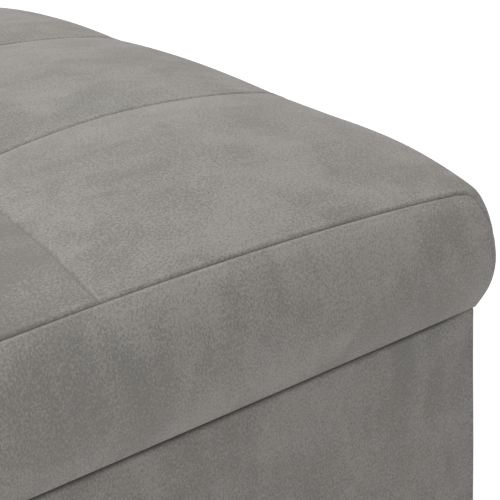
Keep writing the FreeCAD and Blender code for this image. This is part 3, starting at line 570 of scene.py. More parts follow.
lining = spun_cloth("lining_cloth", (0.075, 0.074, 0.072, 1), (0.040, 0.040, 0.040, 1))
LINER_THICK = 0.0008
LINER_CLEAR = 0.001
LINER_CORNER, LEAST_LINER_CORNER = 0.005, 0.0003
LINER_COVE = 0.004
LINER_TOP_EDGE = 0.004
LINER_MIDDLE_SLIT = 0.0005
LINER_WALL_ROWS, LINER_COVE_ROWS, LINER_FLOOR_ROWS = 9, 6, 8
LINER_STOPS, LINER_TURNS = (40, 20), 4
LINER_WALL_SLACK, LINER_WALL_WAVES = 0.0004, ((33, 0, 51), (0, 47, 29))
LINER_FLOOR_SLACK, LINER_FLOOR_WAVES = 0.0005, ((19, 0, 0), (0, 27, 0), 1)
liner_low, liner_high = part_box("storage_liner")
liner_length, liner_depth = liner_high.x - LINER_CLEAR, liner_high.y - LINER_CLEAR
liner_floor = liner_low.z + LINER_CLEAR
liner_stops = [np.linspace(-1, 1, count) for count in LINER_STOPS]
wall_levels = np.linspace(liner_high.z, liner_floor + LINER_COVE, LINER_WALL_ROWS)
floor_insets = np.linspace(LINER_COVE, liner_depth - LINER_MIDDLE_SLIT, LINER_FLOOR_ROWS)
liner_profile = [(0.0, level) for level in wall_levels]
liner_profile += [(LINER_COVE * (1 - math.cos(turn)), liner_floor + LINER_COVE * (1 - math.sin(turn)))
                  for turn in np.linspace(0, math.pi / 2, LINER_COVE_ROWS)[1:]]
liner_profile += [(inset, liner_floor) for inset in floor_insets[1:]]
liner_points = []
for inset, level in liner_profile:
    ring = ring_of(liner_length - inset, liner_depth - inset, max(LINER_CORNER - inset, LEAST_LINER_CORNER),
                   liner_stops, LINER_TURNS)
    points = np.column_stack([ring, np.full(len(ring), level)])
    if inset == 0 and level < liner_high.z - LINER_TOP_EDGE:
        slack = LINER_WALL_SLACK * np.abs(ripple(points, *LINER_WALL_WAVES))
        points[:, :2] *= (1 - slack / np.linalg.norm(ring, axis=1))[:, None]
    if inset > 2 * LINER_COVE:
        points[:, 2] += LINER_FLOOR_SLACK * ripple(points, *LINER_FLOOR_WAVES)
    liner_points.append(points)
liner_points = np.array(liner_points).transpose(1, 0, 2)[::-1]
storage_lining = linked("storage_lining", grid_mesh(
    "storage_lining", liner_points, lengths_of(liner_points[:, 0], True),
    lengths_of(np.array(liner_profile), False), closed_along=True))
storage_lining.data.materials.append(lining)
thicken(storage_lining, LINER_THICK)
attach(storage_lining, "base")
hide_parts("storage_liner")


# Dust cover: thin black non-woven cloth stapled across the open bottom of the box, over the velvet's turned
# edge. It hangs a little slack between its edges.
BELLY_POWER = 4
BELLY_WAVE, BELLY_WAVES = 0.3, ((17, 5), (-3, 31))


def flat_cloth(name, low, high, level, slack, step):
    """Level sheet over a rectangle, facing down, that hangs by the given slack at its middle."""
    xs = np.linspace(low.x, high.x, int((high.x - low.x) / step) + 1)[::-1]
    ys = np.linspace(low.y, high.y, int((high.y - low.y) / step) + 1)
    x, y = np.meshgrid(xs, ys, indexing="ij")
    belly = (1 - (x / high.x) ** BELLY_POWER) * (1 - (y / high.y) ** BELLY_POWER)
    waves = 1 + BELLY_WAVE * ripple(np.stack([x, y], axis=-1), *BELLY_WAVES)
    points = np.stack([x, y, level - slack * belly * waves], axis=-1)
    return grid_mesh(name, points, xs - low.x, ys - low.y)


DUST_THICK, DUST_CLEAR = 0.0006, 0.0002
dust_low, dust_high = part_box("dust_cover")
dust_sheet = linked("dust_sheet", flat_cloth("dust_sheet", dust_low, dust_high, level=dust_low.z + DUST_CLEAR,
                                             slack=0.0016, step=0.012))
dust_sheet.data.materials.append(spun_cloth("dust_cloth", (0.045, 0.045, 0.046, 1), (0.022, 0.022, 0.023, 1)))
thicken(dust_sheet, DUST_THICK)
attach(dust_sheet, "base")
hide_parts("dust_cover")


# Feet: black plastic glides, moulded with a spark-eroded grain and screwed up into the corner blocks through
# a recess in the sole.
FOOT_BLACK, FOOT_SCUFFED = (0.018, 0.018, 0.019, 1), (0.040, 0.040, 0.041, 1)
foot_plastic, foot_place, foot_sockets = finish_material(
    "foot_plastic", {"Specular IOR Level": 0.4}, bump_strength=0.25, bump_depth=0.0002)
foot_scuff = noise(foot_place, scale=70.0, detail=3, twist=0.5)
foot_share = stretch(foot_scuff, low=0.4, high=0.75)
feed(foot_sockets, {
    "Colour": blend_colours(foot_share, FOOT_BLACK, FOOT_SCUFFED),
    "Roughness": in_shares((foot_scuff, 0.3), start=0.38),
    "Height": noise(foot_place, scale=1400.0, detail=2)})
paint([f"foot_{corner}" for corner in CORNERS], foot_plastic)


# Hinges: two butt hinges of zinc plated sheet steel. The leaves lie between rim and lid, and their rolled
# knuckles turn on a steel pin just behind the back of the box.
hinge_steel = plated_steel("hinge_steel", (0.56, 0.56, 0.58, 1), (0.42, 0.42, 0.44, 1))
paint([f"hinge_{part}_{side}" for part in ("base_leaf", "lid_leaf", "pin") for side in SIDES], hinge_steel)


# Lid stays: two folding stays of zinc plated strip steel, riveted at both pivots and at the elbow. A stop pin
# beside the elbow holds the arms when the lid is fully open.
stay_steel = plated_steel("stay_steel", (0.52, 0.52, 0.54, 1), (0.39, 0.39, 0.41, 1))
rivet_steel = plated_steel("rivet_steel", (0.66, 0.66, 0.68, 1), (0.50, 0.50, 0.52, 1))
paint([f"stay_{part}_{side}" for part in ("base_bracket", "lid_bracket", "lower_arm", "upper_arm")
       for side in SIDES], stay_steel)
paint([f"stay_{part}_{side}" for part in ("base_rivet", "lid_rivet", "elbow_rivets") for side in SIDES],
      rivet_steel)


# Seat foam and tuft ties: a block of open-cell foam glued on the lid board, and waxed twine that draws each
# quilting point down to the board. Both are inside the cover.
FOAM_SHADE, FOAM_PALE = (0.62, 0.55, 0.36, 1), (0.84, 0.78, 0.60, 1)
FOAM_ROUND = 0.006
FOAM_ROUND_STEPS = 3
foam_finish, foam_place, foam_sockets = finish_material(
    "foam", {"Roughness": 0.95, "Specular IOR Level": 0.1}, bump_strength=0.8, bump_depth=0.001)
foam_cells = node(foam_finish.node_tree, "ShaderNodeTexVoronoi", {"feature": "F1"},
                  {"Vector": foam_place, "Scale": 900.0}).outputs["Distance"]
foam_share = stretch(foam_cells, low=0.1, high=0.6)
feed(foam_sockets, {
    "Colour": blend_colours(foam_share, FOAM_SHADE, FOAM_PALE), "Height": foam_cells})
foam_low, foam_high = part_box("seat_foam")
foam_mesh = bpy.data.meshes.new("foam_block")
foam_mesh.from_pydata([(x, y, z) for x in (foam_low.x, foam_high.x) for y in (foam_low.y, foam_high.y)
                       for z in (foam_low.z, foam_high.z)], [],
                      [(0, 1, 3, 2), (4, 6, 7, 5), (0, 4, 5, 1), (2, 3, 7, 6), (0, 2, 6, 4), (1, 5, 7, 3)])
foam_block = linked("foam_block", foam_mesh)
foam_edges = foam_block.modifiers.new("cut_edges", "BEVEL")
foam_edges.width = FOAM_ROUND
foam_edges.segments = FOAM_ROUND_STEPS
foam_mesh.materials.append(foam_finish)
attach(foam_block, "lid")
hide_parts("seat_foam")

TWINE_SHADE, TWINE_PALE = (0.55, 0.48, 0.36, 1), (0.80, 0.74, 0.60, 1)
twine, twine_place, twine_sockets = finish_material("twine", {"Roughness": 0.8}, bump_strength=0.5,
                                                       bump_depth=0.0003)
twine_lay = noise(twine_place, scale=(900, 900, 500), detail=2, twist=1.0)
feed(twine_sockets, {
    "Colour": blend_colours(twine_lay, TWINE_SHADE, TWINE_PALE), "Height": twine_lay})
paint(["tuft_ties"], twine)


# Seat cover: brushed velvet in three sewn parts, a quilted top that falls over the front and the back and a
# boxing at each end, filled with fibre over the foam and stapled under the lid board. The panels are swelled
# by a cloth simulation with every seam held, and the grooves are pressed in after it. Sizes in millimetres.
seat_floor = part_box("lid_liner")[0].z / MM
SEAT_HALF_LENGTH = half_length / MM
SEAT_HALF_DEPTH = half_depth / MM
EDGE_SEAM = dict(height=66.1, drop=10.3, roll=215, power=2.5, inset=1.5)
SIDE_BULGE = 11.4
LEAST_BULGE = 1e-4
BULGE_HEIGHT = 27
FALL_POWER = 2.2
SEAT_CORNER_ROUND = 10
ROW_PITCH = 143
ROW_SEAM = dict(height=90.5, drop=17.5, roll=130, power=2.4, shoulder=24)
ROW_SEAM_SPOTS = [ROW_PITCH * place for place in (2, 1, 0, -1, -2)]
ROW_PUFF = 5.7
EDGE_ROW = dict(puff=7.9, shoulder=2.5)
SIDE_PUFF_LOSS = 0.6
TUFT = dict(dip=8, reach=85)
MIDDLE_SEAM = dict(dip=5, reach=60)
CENTRE_SINK = dict(depth=7.5, reach=143, power=1.5, from_middle=120)
HEM_WIDTH = 28
HEM_RECESS = 2.5
LIP_SAG = 1.2
LIP = dict(width=11, power=1.5, rise=9)
LIP_CLEAR_OF_HINGES = (262, 290)
TURN_LENGTH, QUARTER_TURN = 24, 90
MIDDLE_ROWS = ["row_1", "row_2", "row_3", "row_4"]
TOP_ROWS = ["right_row"] + MIDDLE_ROWS + ["left_row"]
PART_LENGTHS = dict(under=810.0, right=72.0, right_row=119.0, **dict.fromkeys(MIDDLE_ROWS, 144.0),
                    left_row=119.0, left=72.0)


def fade(distance, reach, power=2):
    """1 at the line, falling smoothly to 0 at the given reach."""
    return np.maximum(0.0, 1 - np.abs(distance) / reach) ** power


def three_point_arc(first, middle, last, share):
    """Point on the circle through three points, as arrays, at a share of the way from first to last."""
    (ax, az), (bx, bz), (cx, cz) = first, middle, last
    scale = 2 * (ax * (bz - cz) + bx * (cz - az) + cx * (az - bz))
    squares = [x * x + z * z for x, z in (first, middle, last)]
    centre_x = (squares[0] * (bz - cz) + squares[1] * (cz - az) + squares[2] * (az - bz)) / scale
    centre_z = (squares[0] * (cx - bx) + squares[1] * (ax - cx) + squares[2] * (bx - ax)) / scale
    start = np.arctan2(az - centre_z, ax - centre_x)
    sweep = (np.arctan2(cz - centre_z, cx - centre_x) - start) % (2 * np.pi)
    radius = np.hypot(ax - centre_x, az - centre_z)
    angle = start + sweep * share
    return centre_x + radius * np.cos(angle), centre_z + radius * np.sin(angle)


def hump(start, middle, end, share):
    """Height along a row that swells from one seam to the next."""
    return start + (end - start) * share + 4 * (middle - (start + end) / 2) * share * (1 - share)


def seat_surface(stations, stops):
    """Seat points: stations are (y, turn over the long side), stops are (part, share of it)."""
    y, turn = np.array(stations, float).T
    turn = np.radians(turn)
    shrink = np.cos(turn)
    from_side = SEAT_HALF_DEPTH - np.abs(y)

    def over_side(height, shoulder):
        """Height after the round fall over the long side, which starts at the shoulder."""
        past = np.maximum(0, shoulder - from_side + SIDE_BULGE * np.sin(turn)) / (shoulder + SIDE_BULGE)
        return BULGE_HEIGHT + (height - BULGE_HEIGHT) * (1 - past ** FALL_POWER) ** (1 / FALL_POWER)

    edge = EDGE_SEAM["height"] - EDGE_SEAM["drop"] * fade(from_side, EDGE_SEAM["roll"], EDGE_SEAM["power"])
    rolled = ROW_SEAM["height"] - ROW_SEAM["drop"] * fade(from_side, ROW_SEAM["roll"], ROW_SEAM["power"])
    seam = rolled - TUFT["dip"] * fade(y, TUFT["reach"])
    ease = 1 - SIDE_PUFF_LOSS * fade(from_side, ROW_SEAM["roll"])
    crease = MIDDLE_SEAM["dip"] * fade(y, MIDDLE_SEAM["reach"])
    crown = over_side((edge + seam) / 2 + EDGE_ROW["puff"] * ease - crease / 2, EDGE_ROW["shoulder"])
    middle = over_side(rolled + ROW_PUFF * ease - crease, ROW_SEAM["shoulder"])
    edge = over_side(edge, 0)
    seam = over_side(seam, ROW_SEAM["shoulder"])
    low = BULGE_HEIGHT * (1 - shrink)
    end = SEAT_HALF_LENGTH - SEAT_CORNER_ROUND * (1 - shrink)
    seam_end = end - EDGE_SEAM["inset"]
    bulge = np.maximum(SIDE_BULGE * shrink, LEAST_BULGE)
    level_room = (from_side > HEM_WIDTH) & (turn == 0)
    points = np.zeros((len(stations), len(stops), 3))
    points[:, :, 1] = (y + np.sign(y) * SIDE_BULGE * np.sin(turn))[:, None]
    for j, (part, share) in enumerate(stops):
        mirror = -1 if part.startswith("left") else 1
        inward = 1 - share if mirror < 0 else share
        if part == "under":
            x = end * share
            z = low + np.where(level_room & (np.abs(x) < SEAT_HALF_LENGTH - HEM_WIDTH), HEM_RECESS, 0)
            past_hinges = (np.abs(x) - LIP_CLEAR_OF_HINGES[0]) / np.ptp(LIP_CLEAR_OF_HINGES)
            from_back = SEAT_HALF_DEPTH - y + 2 * LIP["width"] * (1 - np.clip(past_hinges, 0, 1))
            inside = np.minimum(np.minimum(end - np.abs(x), SEAT_HALF_DEPTH + y), from_back)
            z = z - LIP_SAG * shrink * fade(inside * shrink, LIP["width"], LIP["power"])
        elif part in ("right", "left"):
            widest = (end + bulge, np.full(len(end), BULGE_HEIGHT))
            x, z = three_point_arc((end, low), widest, (seam_end, edge), inward)
            x = mirror * x
            z = z - LIP_SAG * shrink * fade(PART_LENGTHS[part] * inward, LIP["rise"])
        elif part in ("right_row", "left_row"):
            x = mirror * (seam_end + (ROW_SEAM_SPOTS[0] - seam_end) * inward)
            z = hump(edge, crown, seam, inward)
        else:
            x = ROW_SEAM_SPOTS[MIDDLE_ROWS.index(part)] - ROW_PITCH * share
            sink = CENTRE_SINK["depth"] * fade(x, CENTRE_SINK["reach"], CENTRE_SINK["power"])
            sink = sink * np.minimum(1, np.abs(y) / CENTRE_SINK["from_middle"]) * shrink
            z = hump(seam, middle, seam, share) - sink
        points[:, j, 0] = x
        points[:, j, 2] = seat_floor + z
    return points


# Grid of the seat: stations run from front to back and stops run round the section, both packed at the seams
LEAST_GAP = 0.42
LAST_GAP = 0.4
SEAM_STEPS = (0.45, 0.9, 1.4, 2.0, 2.8, 3.8, 5.2, 7.2, 10)
LIP_STEPS = (0.6, 1.4, 2.6)
CORNER_PACK = tuple(np.arange(0.75, 30, 0.75))
SHOULDER_PACK = tuple(np.arange(174, 190, 0.9))
EVEN_STATIONS = tuple(np.arange(3, 188, 5.5))
ROW_STEP, BOXING_STEP = 5.5, 4.0
SIDE_TURNS = tuple(np.concatenate([np.arange(3, 66, 3.2), np.arange(66, 88, 4), [88.5]]))
UNDER_STEPS = (0.9, 2.0, 3.8, 7.2)
UNDER_SHARES = (0.08, 0.25, 0.5, 0.6, 0.8, 0.96, 0.985, 0.995)
LEAST_SHARE_GAP = 0.0015
LAST_SHARE = 0.999
HEM_STEP = 0.5


def close_to(spots, offsets):
    """Places on both sides of each spot."""
    return [spot + sign * offset for spot in spots for offset in offsets for sign in MIRRORED]


def thinned(values, gap, low, high, kept):
    """Sorted values inside limits, none nearer than the gap to one chosen before it; kept ones come first."""
    chosen = []
    for value in list(kept) + list(values):
        if low <= value <= high and all(abs(value - other) >= gap for other in chosen):
            chosen.append(value)
    return sorted(chosen)


def with_sides(spots, turns):
    """Stations from front to back, with turned sections that round off both long sides."""
    first = [(-SEAT_HALF_DEPTH, turn) for turn in reversed(turns)]
    last = [(SEAT_HALF_DEPTH, turn) for turn in turns]
    return first + [(spot, 0) for spot in spots] + last


def part_stops(part, step, starts=(), ends=(), extra=()):
    """Shares along one part, packed at given distances from its start and its end."""
    length = PART_LENGTHS[part]
    kept = [0, *starts] + [length - offset for offset in ends]
    values = [*np.arange(step / 2, length, step), *extra]
    return [(part, value / length) for value in thinned(values, LEAST_GAP, 0, length - LAST_GAP, kept)]


def station_run(stations):
    """Running length of the cloth at each station, from the middle outwards."""
    return np.array([spot + np.sign(spot) * TURN_LENGTH * turn / QUARTER_TURN for spot, turn in stations])


def stop_run(stops):
    """Running length of the cloth at each stop, round the section."""
    starts = dict(zip(PART_LENGTHS, np.concatenate([[0], np.cumsum(list(PART_LENGTHS.values()))])))
    return np.array([starts[part] + PART_LENGTHS[part] * ((1 + share) / 2 if part == "under" else share)
                     for part, share in stops])


hem_line = SEAT_HALF_DEPTH - HEM_WIDTH
level_stations = thinned(close_to([0], SEAM_STEPS + SHOULDER_PACK + EVEN_STATIONS), LEAST_GAP,
                         -SEAT_HALF_DEPTH, SEAT_HALF_DEPTH,
                         [0, -SEAT_HALF_DEPTH, SEAT_HALF_DEPTH] + close_to([-hem_line, hem_line], [HEM_STEP]))
hem_share = 1 - HEM_WIDTH / SEAT_HALF_LENGTH
row_shares = [spot / SEAT_HALF_LENGTH for spot in ROW_SEAM_SPOTS]
under_steps = [step / SEAT_HALF_LENGTH for step in UNDER_STEPS]
under_shares = thinned(close_to([0], UNDER_SHARES) + close_to(row_shares, under_steps), LEAST_SHARE_GAP,
                       -LAST_SHARE, LAST_SHARE,
                       row_shares + close_to([hem_share, -hem_share], [LEAST_SHARE_GAP]))
boxing_stops = part_stops("right", BOXING_STEP, ends=SEAM_STEPS + CORNER_PACK, extra=LIP_STEPS)
fine_stops = [("under", share) for share in under_shares] + boxing_stops
for part in TOP_ROWS:
    fine_stops += part_stops(part, ROW_STEP, SEAM_STEPS, SEAM_STEPS)
fine_stops += [("left", 0.0)] + [("left", 1 - share) for part, share in reversed(boxing_stops) if share > 0]
fine_stations = with_sides(level_stations, SIDE_TURNS)
seat_points = seat_surface(fine_stations, fine_stops)
fine_along, fine_across = station_run(fine_stations), stop_run(fine_stops)
loop_length = sum(PART_LENGTHS.values())


# Swell of the seat: simulated on a coarse grid as a closed cloth under pressure, and read onto the fine one
CLOTH = dict(quality=6, mass=0.3, tension_stiffness=30, compression_stiffness=30, shear_stiffness=15,
             bending_stiffness=4, vertex_group_mass="held", use_pressure=True, uniform_pressure_force=4.0)
SIM_STEP = 9.5
SIM_STATIONS = 41
SIM_TURNS = (22, 45, 68, 86)
SIM_UNDER_SHARES = (-1, -0.96, -0.5, 0, 0.5, 0.96)
SIM_HELD_TURN = 60
SIM_HELD_MIDDLE = 1
SIM_FRAMES = 20
SWELL_CAP = 9.0
SWELL_TARGET = 1.2
TINY = 1e-9


def smooth_weights(known, wanted):
    """Matrix that reads a curve through known places at wanted ones, by cubic steps between neighbours."""
    each = np.eye(len(known))
    before = np.maximum(np.arange(len(known)) - 1, 0)
    after = np.minimum(np.arange(len(known)) + 1, len(known) - 1)
    slopes = (each[after] - each[before]) / (known[after] - known[before])[:, None]
    cell = np.clip(np.searchsorted(known, wanted) - 1, 0, len(known) - 2)
    gap = (known[cell + 1] - known[cell])[:, None]
    t = np.clip((wanted - known[cell])[:, None] / gap, 0, 1)
    held = (2 * t ** 3 - 3 * t ** 2 + 1) * each[cell] + (3 * t ** 2 - 2 * t ** 3) * each[cell + 1]
    bent = (t ** 3 - 2 * t ** 2 + t) * slopes[cell] + (t ** 3 - t ** 2) * slopes[cell + 1]
    return held + gap * bent


def swell():
    """Blow the seat up with its seams held; gives the coarse grid's lengths and its movement."""
    stations = with_sides(np.linspace(-SEAT_HALF_DEPTH, SEAT_HALF_DEPTH, SIM_STATIONS), SIM_TURNS)
    stops = [("under", share) for share in SIM_UNDER_SHARES]
    for part in list(PART_LENGTHS)[1:]:
        count = int(PART_LENGTHS[part] / SIM_STEP)
        stops += [(part, step / count) for step in range(count)]
    points = seat_surface(stations, stops)
    rows, columns = points.shape[:2]
    mesh = grid_mesh("seat_swell", points * MM, np.zeros(rows), np.zeros(columns + 1), closed_across=True)
    blown = linked("seat_swell", mesh)
    pinned = []
    for i, (spot, side_turn) in enumerate(stations):
        on_middle = side_turn == 0 and abs(spot) < SIM_HELD_MIDDLE
        for j, (part, share) in enumerate(stops):
            if part == "under" or share == 0 or on_middle or side_turn > SIM_HELD_TURN:
                pinned.append(i * columns + j)
    blown.vertex_groups.new(name="held").add(pinned, 1.0, "REPLACE")
    cloth = blown.modifiers.new("cloth", "CLOTH")
    for label, value in CLOTH.items():
        setattr(cloth.settings, label, value)
    cloth.settings.effector_weights.gravity = 0
    cloth.point_cache.frame_start = 1
    cloth.point_cache.frame_end = SIM_FRAMES
    for tick in range(1, SIM_FRAMES + 1):
        bpy.context.scene.frame_set(tick)
    ready = blown.evaluated_get(bpy.context.evaluated_depsgraph_get())
    moved = np.zeros(rows * columns * 3, np.float32)
    ready.data.vertices.foreach_get("co", moved)
    bpy.context.scene.frame_set(1)
    bpy.data.objects.remove(blown)
    movement = moved.reshape(rows, columns, 3) / MM - points
    size = np.linalg.norm(movement, axis=2, keepdims=True)
    movement *= np.minimum(1, SWELL_CAP / np.maximum(size, TINY))
    return station_run(stations), stop_run(stops), movement


swell_along, swell_across, movement = swell()
largest = np.linalg.norm(movement, axis=2).max()
movement = np.concatenate([movement, movement[:, :1]], axis=1)
along_weights = smooth_weights(swell_along, fine_along)
across_weights = smooth_weights(np.append(swell_across, loop_length), fine_across)
swelled = np.einsum("ia,abk,jb->ijk", along_weights, movement, across_weights)
seat_points = seat_points + swelled * min(1.0, SWELL_TARGET / largest)


# Soft shoulders of the seat: past the boxing's rounded corner the top turns down the long side with no seam
SHOULDER_START, SHOULDER_FULL = 166, 184
SHOULDER_ROLL = 1.8
SHOULDER_REACH = 34.0
SHOULDER_STOPS = 60
EDGE_STOPS = {"right": ("right_row", 0.0), "left": ("left", 0.0)}


def soft_shoulder(points, seam_stop):
    """Round the edge off along each section near a long side by averaging over the cloth's own length."""
    seam_index = fine_stops.index(seam_stop)
    window = np.arange(seam_index - SHOULDER_STOPS, seam_index + SHOULDER_STOPS) % len(fine_stops)
    softened = points.copy()
    for i, (spot, side_turn) in enumerate(fine_stations):
        share = np.clip((abs(spot) - SHOULDER_START) / (SHOULDER_FULL - SHOULDER_START), 0, 1)
        if share > 0:
            section = points[i, window]
            run = lengths_of(section, False)
            weights = np.exp(-0.5 * ((run[:, None] - run[None]) / SHOULDER_ROLL) ** 2)
            weights = weights * np.gradient(run)[None]
            average = weights @ section / weights.sum(axis=1, keepdims=True)
            near = np.clip(2 * fade(run - run[SHOULDER_STOPS], SHOULDER_REACH, 1), 0, 1)
            eased = near * share * share * (3 - 2 * share)
            softened[i, window] = section + (average - section) * eased[:, None]
    return softened


for edge_stop in EDGE_STOPS.values():
    seat_points = soft_shoulder(seat_points, edge_stop)


# Sewn grooves of the seat: where each seam runs, how deep it is drawn in and how its lips roll. A painted
# highlight lies on the near side of a row's seam, and painted shade along every seam.
def seam_line(stations, stops):
    """Points of a seam through matching stations and stops, read between the lines of the grid."""
    run, length = station_run(stations), stop_run(stops)
    i = np.clip(np.searchsorted(fine_along, run) - 1, 0, len(fine_along) - 2)
    j = np.clip(np.searchsorted(fine_across, length) - 1, 0, len(fine_across) - 2)
    s = np.clip((run - fine_along[i]) / (fine_along[i + 1] - fine_along[i]), 0, 1)[:, None]
    t = np.clip((length - fine_across[j]) / (fine_across[j + 1] - fine_across[j]), 0, 1)[:, None]
    near = seat_points[i, j] * (1 - t) + seat_points[i, j + 1] * t
    far = seat_points[i + 1, j] * (1 - t) + seat_points[i + 1, j + 1] * t
    return near * (1 - s) + far * s


CORNER_STITCHES = 90
CORNER_SEAM = np.array([(178, 0, 1.0), (183, 0, 0.997), (186, 0, 0.988), (188.5, 0, 0.965), (190, 2, 0.925),
                        (190, 8, 0.85), (190, 14, 0.78), (190, 20, 0.725), (190, 29, 0.65), (190, 37, 0.57),
                        (190, 45, 0.45), (190, 51, 0.3), (190, 54, 0.1)])


def corner_seam(sign, part):
    """The boxing's seam where it leaves the top edge, rounds the upper corner and runs down the upright one.

    Each knot is a place along the edge, a turn over the long side and a share of the boxing's height.
    """
    places = np.linspace(0, len(CORNER_SEAM) - 1, CORNER_STITCHES)
    spots, turns, heights = (np.interp(places, np.arange(len(CORNER_SEAM)), knots) for knots in CORNER_SEAM.T)
    heights = heights if part == "right" else 1 - heights
    return seam_line(list(zip(sign * spots, turns)), [(part, height) for height in heights])


STITCH = 0.5
STITCH_TURNS = np.arange(1, 88, 1.0)
STITCH_SHARES = np.arange(0, 1, 0.004)
every_spot = [(spot, 0) for spot in np.arange(-SEAT_HALF_DEPTH, SEAT_HALF_DEPTH + STITCH / 2, STITCH)]
every_turn = [(sign * SEAT_HALF_DEPTH, turn) for sign in MIRRORED for turn in STITCH_TURNS]
row_stations = every_spot + every_turn
row_lines = [seam_line(row_stations, [(part, 0.0)] * len(row_stations))
             for part in MIDDLE_ROWS + ["left_row"]]
row_lines += [seam_line(every_turn, [("under", share)] * len(every_turn)) for share in row_shares]
edge_stations = [station for station in every_spot if abs(station[0]) <= CORNER_SEAM[0, 0]]
edge_lines = []
for part, edge_stop in EDGE_STOPS.items():
    edge_lines.append(seam_line(edge_stations, [edge_stop] * len(edge_stations)))
    edge_lines += [corner_seam(sign, part) for sign in MIRRORED]
middle_stops = [(part, share) for part in TOP_ROWS for share in STITCH_SHARES]
middle_lines = [seam_line([(0, 0)] * len(middle_stops), middle_stops)]

GROOVES = (
    dict(lines=edge_lines, depth=1.8, width=0.75, soft_depth=1.0, soft_width=5.0, lip=0.35, side_share=0.9),
    dict(lines=row_lines, depth=0.7, width=0.42, soft_depth=0.3, soft_width=4.0, lip=0.4, side_share=2.4),
    dict(lines=middle_lines, depth=1.2, width=0.6, soft_depth=0.3, soft_width=5.0, lip=0.1, side_share=1.0),
)
GROOVE_REACH = 3
SEAM_LIP = dict(away=1.8, width=0.8)
SIDE_FALL = (150, 188)
# Painted highlight on the near lip of each row's seam, and painted shade along every seam.
SEAM_HIGHLIGHT = dict(away=1.4, width=0.9, share=0.55, wide_share=0.2, wide_reach=10)
SEAM_PAINTED_SHADE = dict(width=0.7, share=0.35)


def bell(distance, width):
    return np.exp(-(distance / width) ** 2)


def grid_normals(points):
    """Unit normals of a grid of points, from its neighbours both ways."""
    along = np.gradient(points, axis=0)
    across = np.roll(points, -1, axis=1) - np.roll(points, 1, axis=1)
    normals = np.cross(along, across)
    return normals / np.maximum(np.linalg.norm(normals, axis=2, keepdims=True), TINY)


grid_shape = seat_points.shape[:2]
before_sewing = seat_points.reshape(-1, 3)
draw_in = np.full(len(before_sewing), -np.inf)
painted_seam_highlight = np.zeros(len(before_sewing))
seam_painted_shade = np.zeros(len(before_sewing))
for groove in GROOVES:
    stitches = np.vstack(groove["lines"])
    stitch_tree = kdtree.KDTree(len(stitches))
    for index, stitch in enumerate(stitches):
        stitch_tree.insert(stitch, index)
    stitch_tree.balance()
    found = [stitch_tree.find(point) for point in before_sewing]
    nearest = np.array([index for stitch, index, distance in found])
    away = np.array([distance for stitch, index, distance in found])
    over_the_side = np.clip((np.abs(stitches[nearest, 1]) - SIDE_FALL[0]) / np.ptp(SIDE_FALL), 0, 1)
    pull = groove["depth"] * np.exp(-away / groove["width"])
    pull += groove["soft_depth"] * bell(away, groove["soft_width"])
    pull -= groove["lip"] * bell(away - SEAM_LIP["away"], SEAM_LIP["width"])
    pull *= 1 + (groove["side_share"] - 1) * over_the_side
    # Painted shade along the seam line, darkest at the stitches.
    pressed = SEAM_PAINTED_SHADE["share"] * bell(away, SEAM_PAINTED_SHADE["width"])
    reached = away < GROOVE_REACH * groove["soft_width"]
    draw_in[reached] = np.maximum(draw_in, pull)[reached]
    seam_painted_shade[reached] = np.maximum(seam_painted_shade, pressed)[reached]
    if groove["lines"] is row_lines:
        # Painted highlight on the near side of a row's seam: strong by the lip, faint over the panel.
        lip_highlight = SEAM_HIGHLIGHT["share"] * bell(away - SEAM_HIGHLIGHT["away"], SEAM_HIGHLIGHT["width"])
        lip_highlight += SEAM_HIGHLIGHT["wide_share"] * np.exp(-away / SEAM_HIGHLIGHT["wide_reach"])
        near_side = before_sewing[:, 0] > np.array([stitch.x for stitch, index, distance in found])
        painted_seam_highlight = np.where(near_side, lip_highlight * (1 - over_the_side), 0)
draw_in[np.isinf(draw_in)] = 0
seat_points = seat_points - grid_normals(seat_points) * draw_in.reshape(*grid_shape, 1)


# Mesh of the seat: the grid, closed along the middle of both long sides. The pile of the top lies from front
# to back, so its lengths are turned, and the lower half of a long side carries on from the top above it. The
# top's front half is painted darker, as painted shade.
# The seat's copy of the velvet is painted lighter than the base's, as painted light.
SEAT_PAINTED_LIGHT = 1.03
# Painted shade on the top's front half: how dark it is and how sharply it fades past the middle.
FRONT_PAINTED_SHADE = dict(share=0.48, turn=1.2, limit=50)


def zipped(first, second, spots):
    """Triangles that close the slit between two lines of points that run the same way."""
    faces, i, j = [], 0, 0
    while i + 1 < len(first) or j + 1 < len(second):
        take_first = j + 1 == len(second)
        if i + 1 < len(first) and not take_first:
            take_first = spots[first[i + 1]] <= spots[second[j + 1]]
        ahead = first[i + 1] if take_first else second[j + 1]
        faces.append((first[i], ahead, second[j]))
        i, j = (i + 1, j) if take_first else (i, j + 1)
    return faces


station_count, stop_count = grid_shape
seat_corners = grid_corners(station_count, stop_count, closed_across=True)
top_columns = np.array([part in TOP_ROWS for part, share in fine_stops])
under_columns = np.array([part == "under" for part, share in fine_stops])
side_rows = np.array([abs(spot) == SEAT_HALF_DEPTH for spot, turn in fine_stations])
middle_spots = seat_points[station_count // 2, :, 0]
top_order = np.argsort(middle_spots[top_columns])
under_across = np.interp(np.append(middle_spots, 0), middle_spots[top_columns][top_order],
                         fine_across[top_columns][top_order])
under_along = np.sign(fine_along) * 2 * (SEAT_HALF_DEPTH + TURN_LENGTH) - fine_along
seat_lengths = np.stack([fine_along[seat_corners[..., 0]],
                         np.append(fine_across, loop_length)[seat_corners[..., 1]]], axis=-1)
carried = np.stack([under_along[seat_corners[..., 0]], under_across[seat_corners[..., 1]]], axis=-1)
on_side = (side_rows[:-1] & side_rows[1:])[:, None] & under_columns[None]
seat_lengths[on_side] = carried[on_side]
turned = on_side | top_columns[None]
seat_lengths[turned] = seat_lengths[turned][..., ::-1]
seat_lengths = seat_lengths.reshape(-1, 2).tolist()
seat_faces = grid_faces(seat_corners, station_count, stop_count)
lower_part = [j for j, (part, share) in enumerate(fine_stops) if part in ("under", "right")]
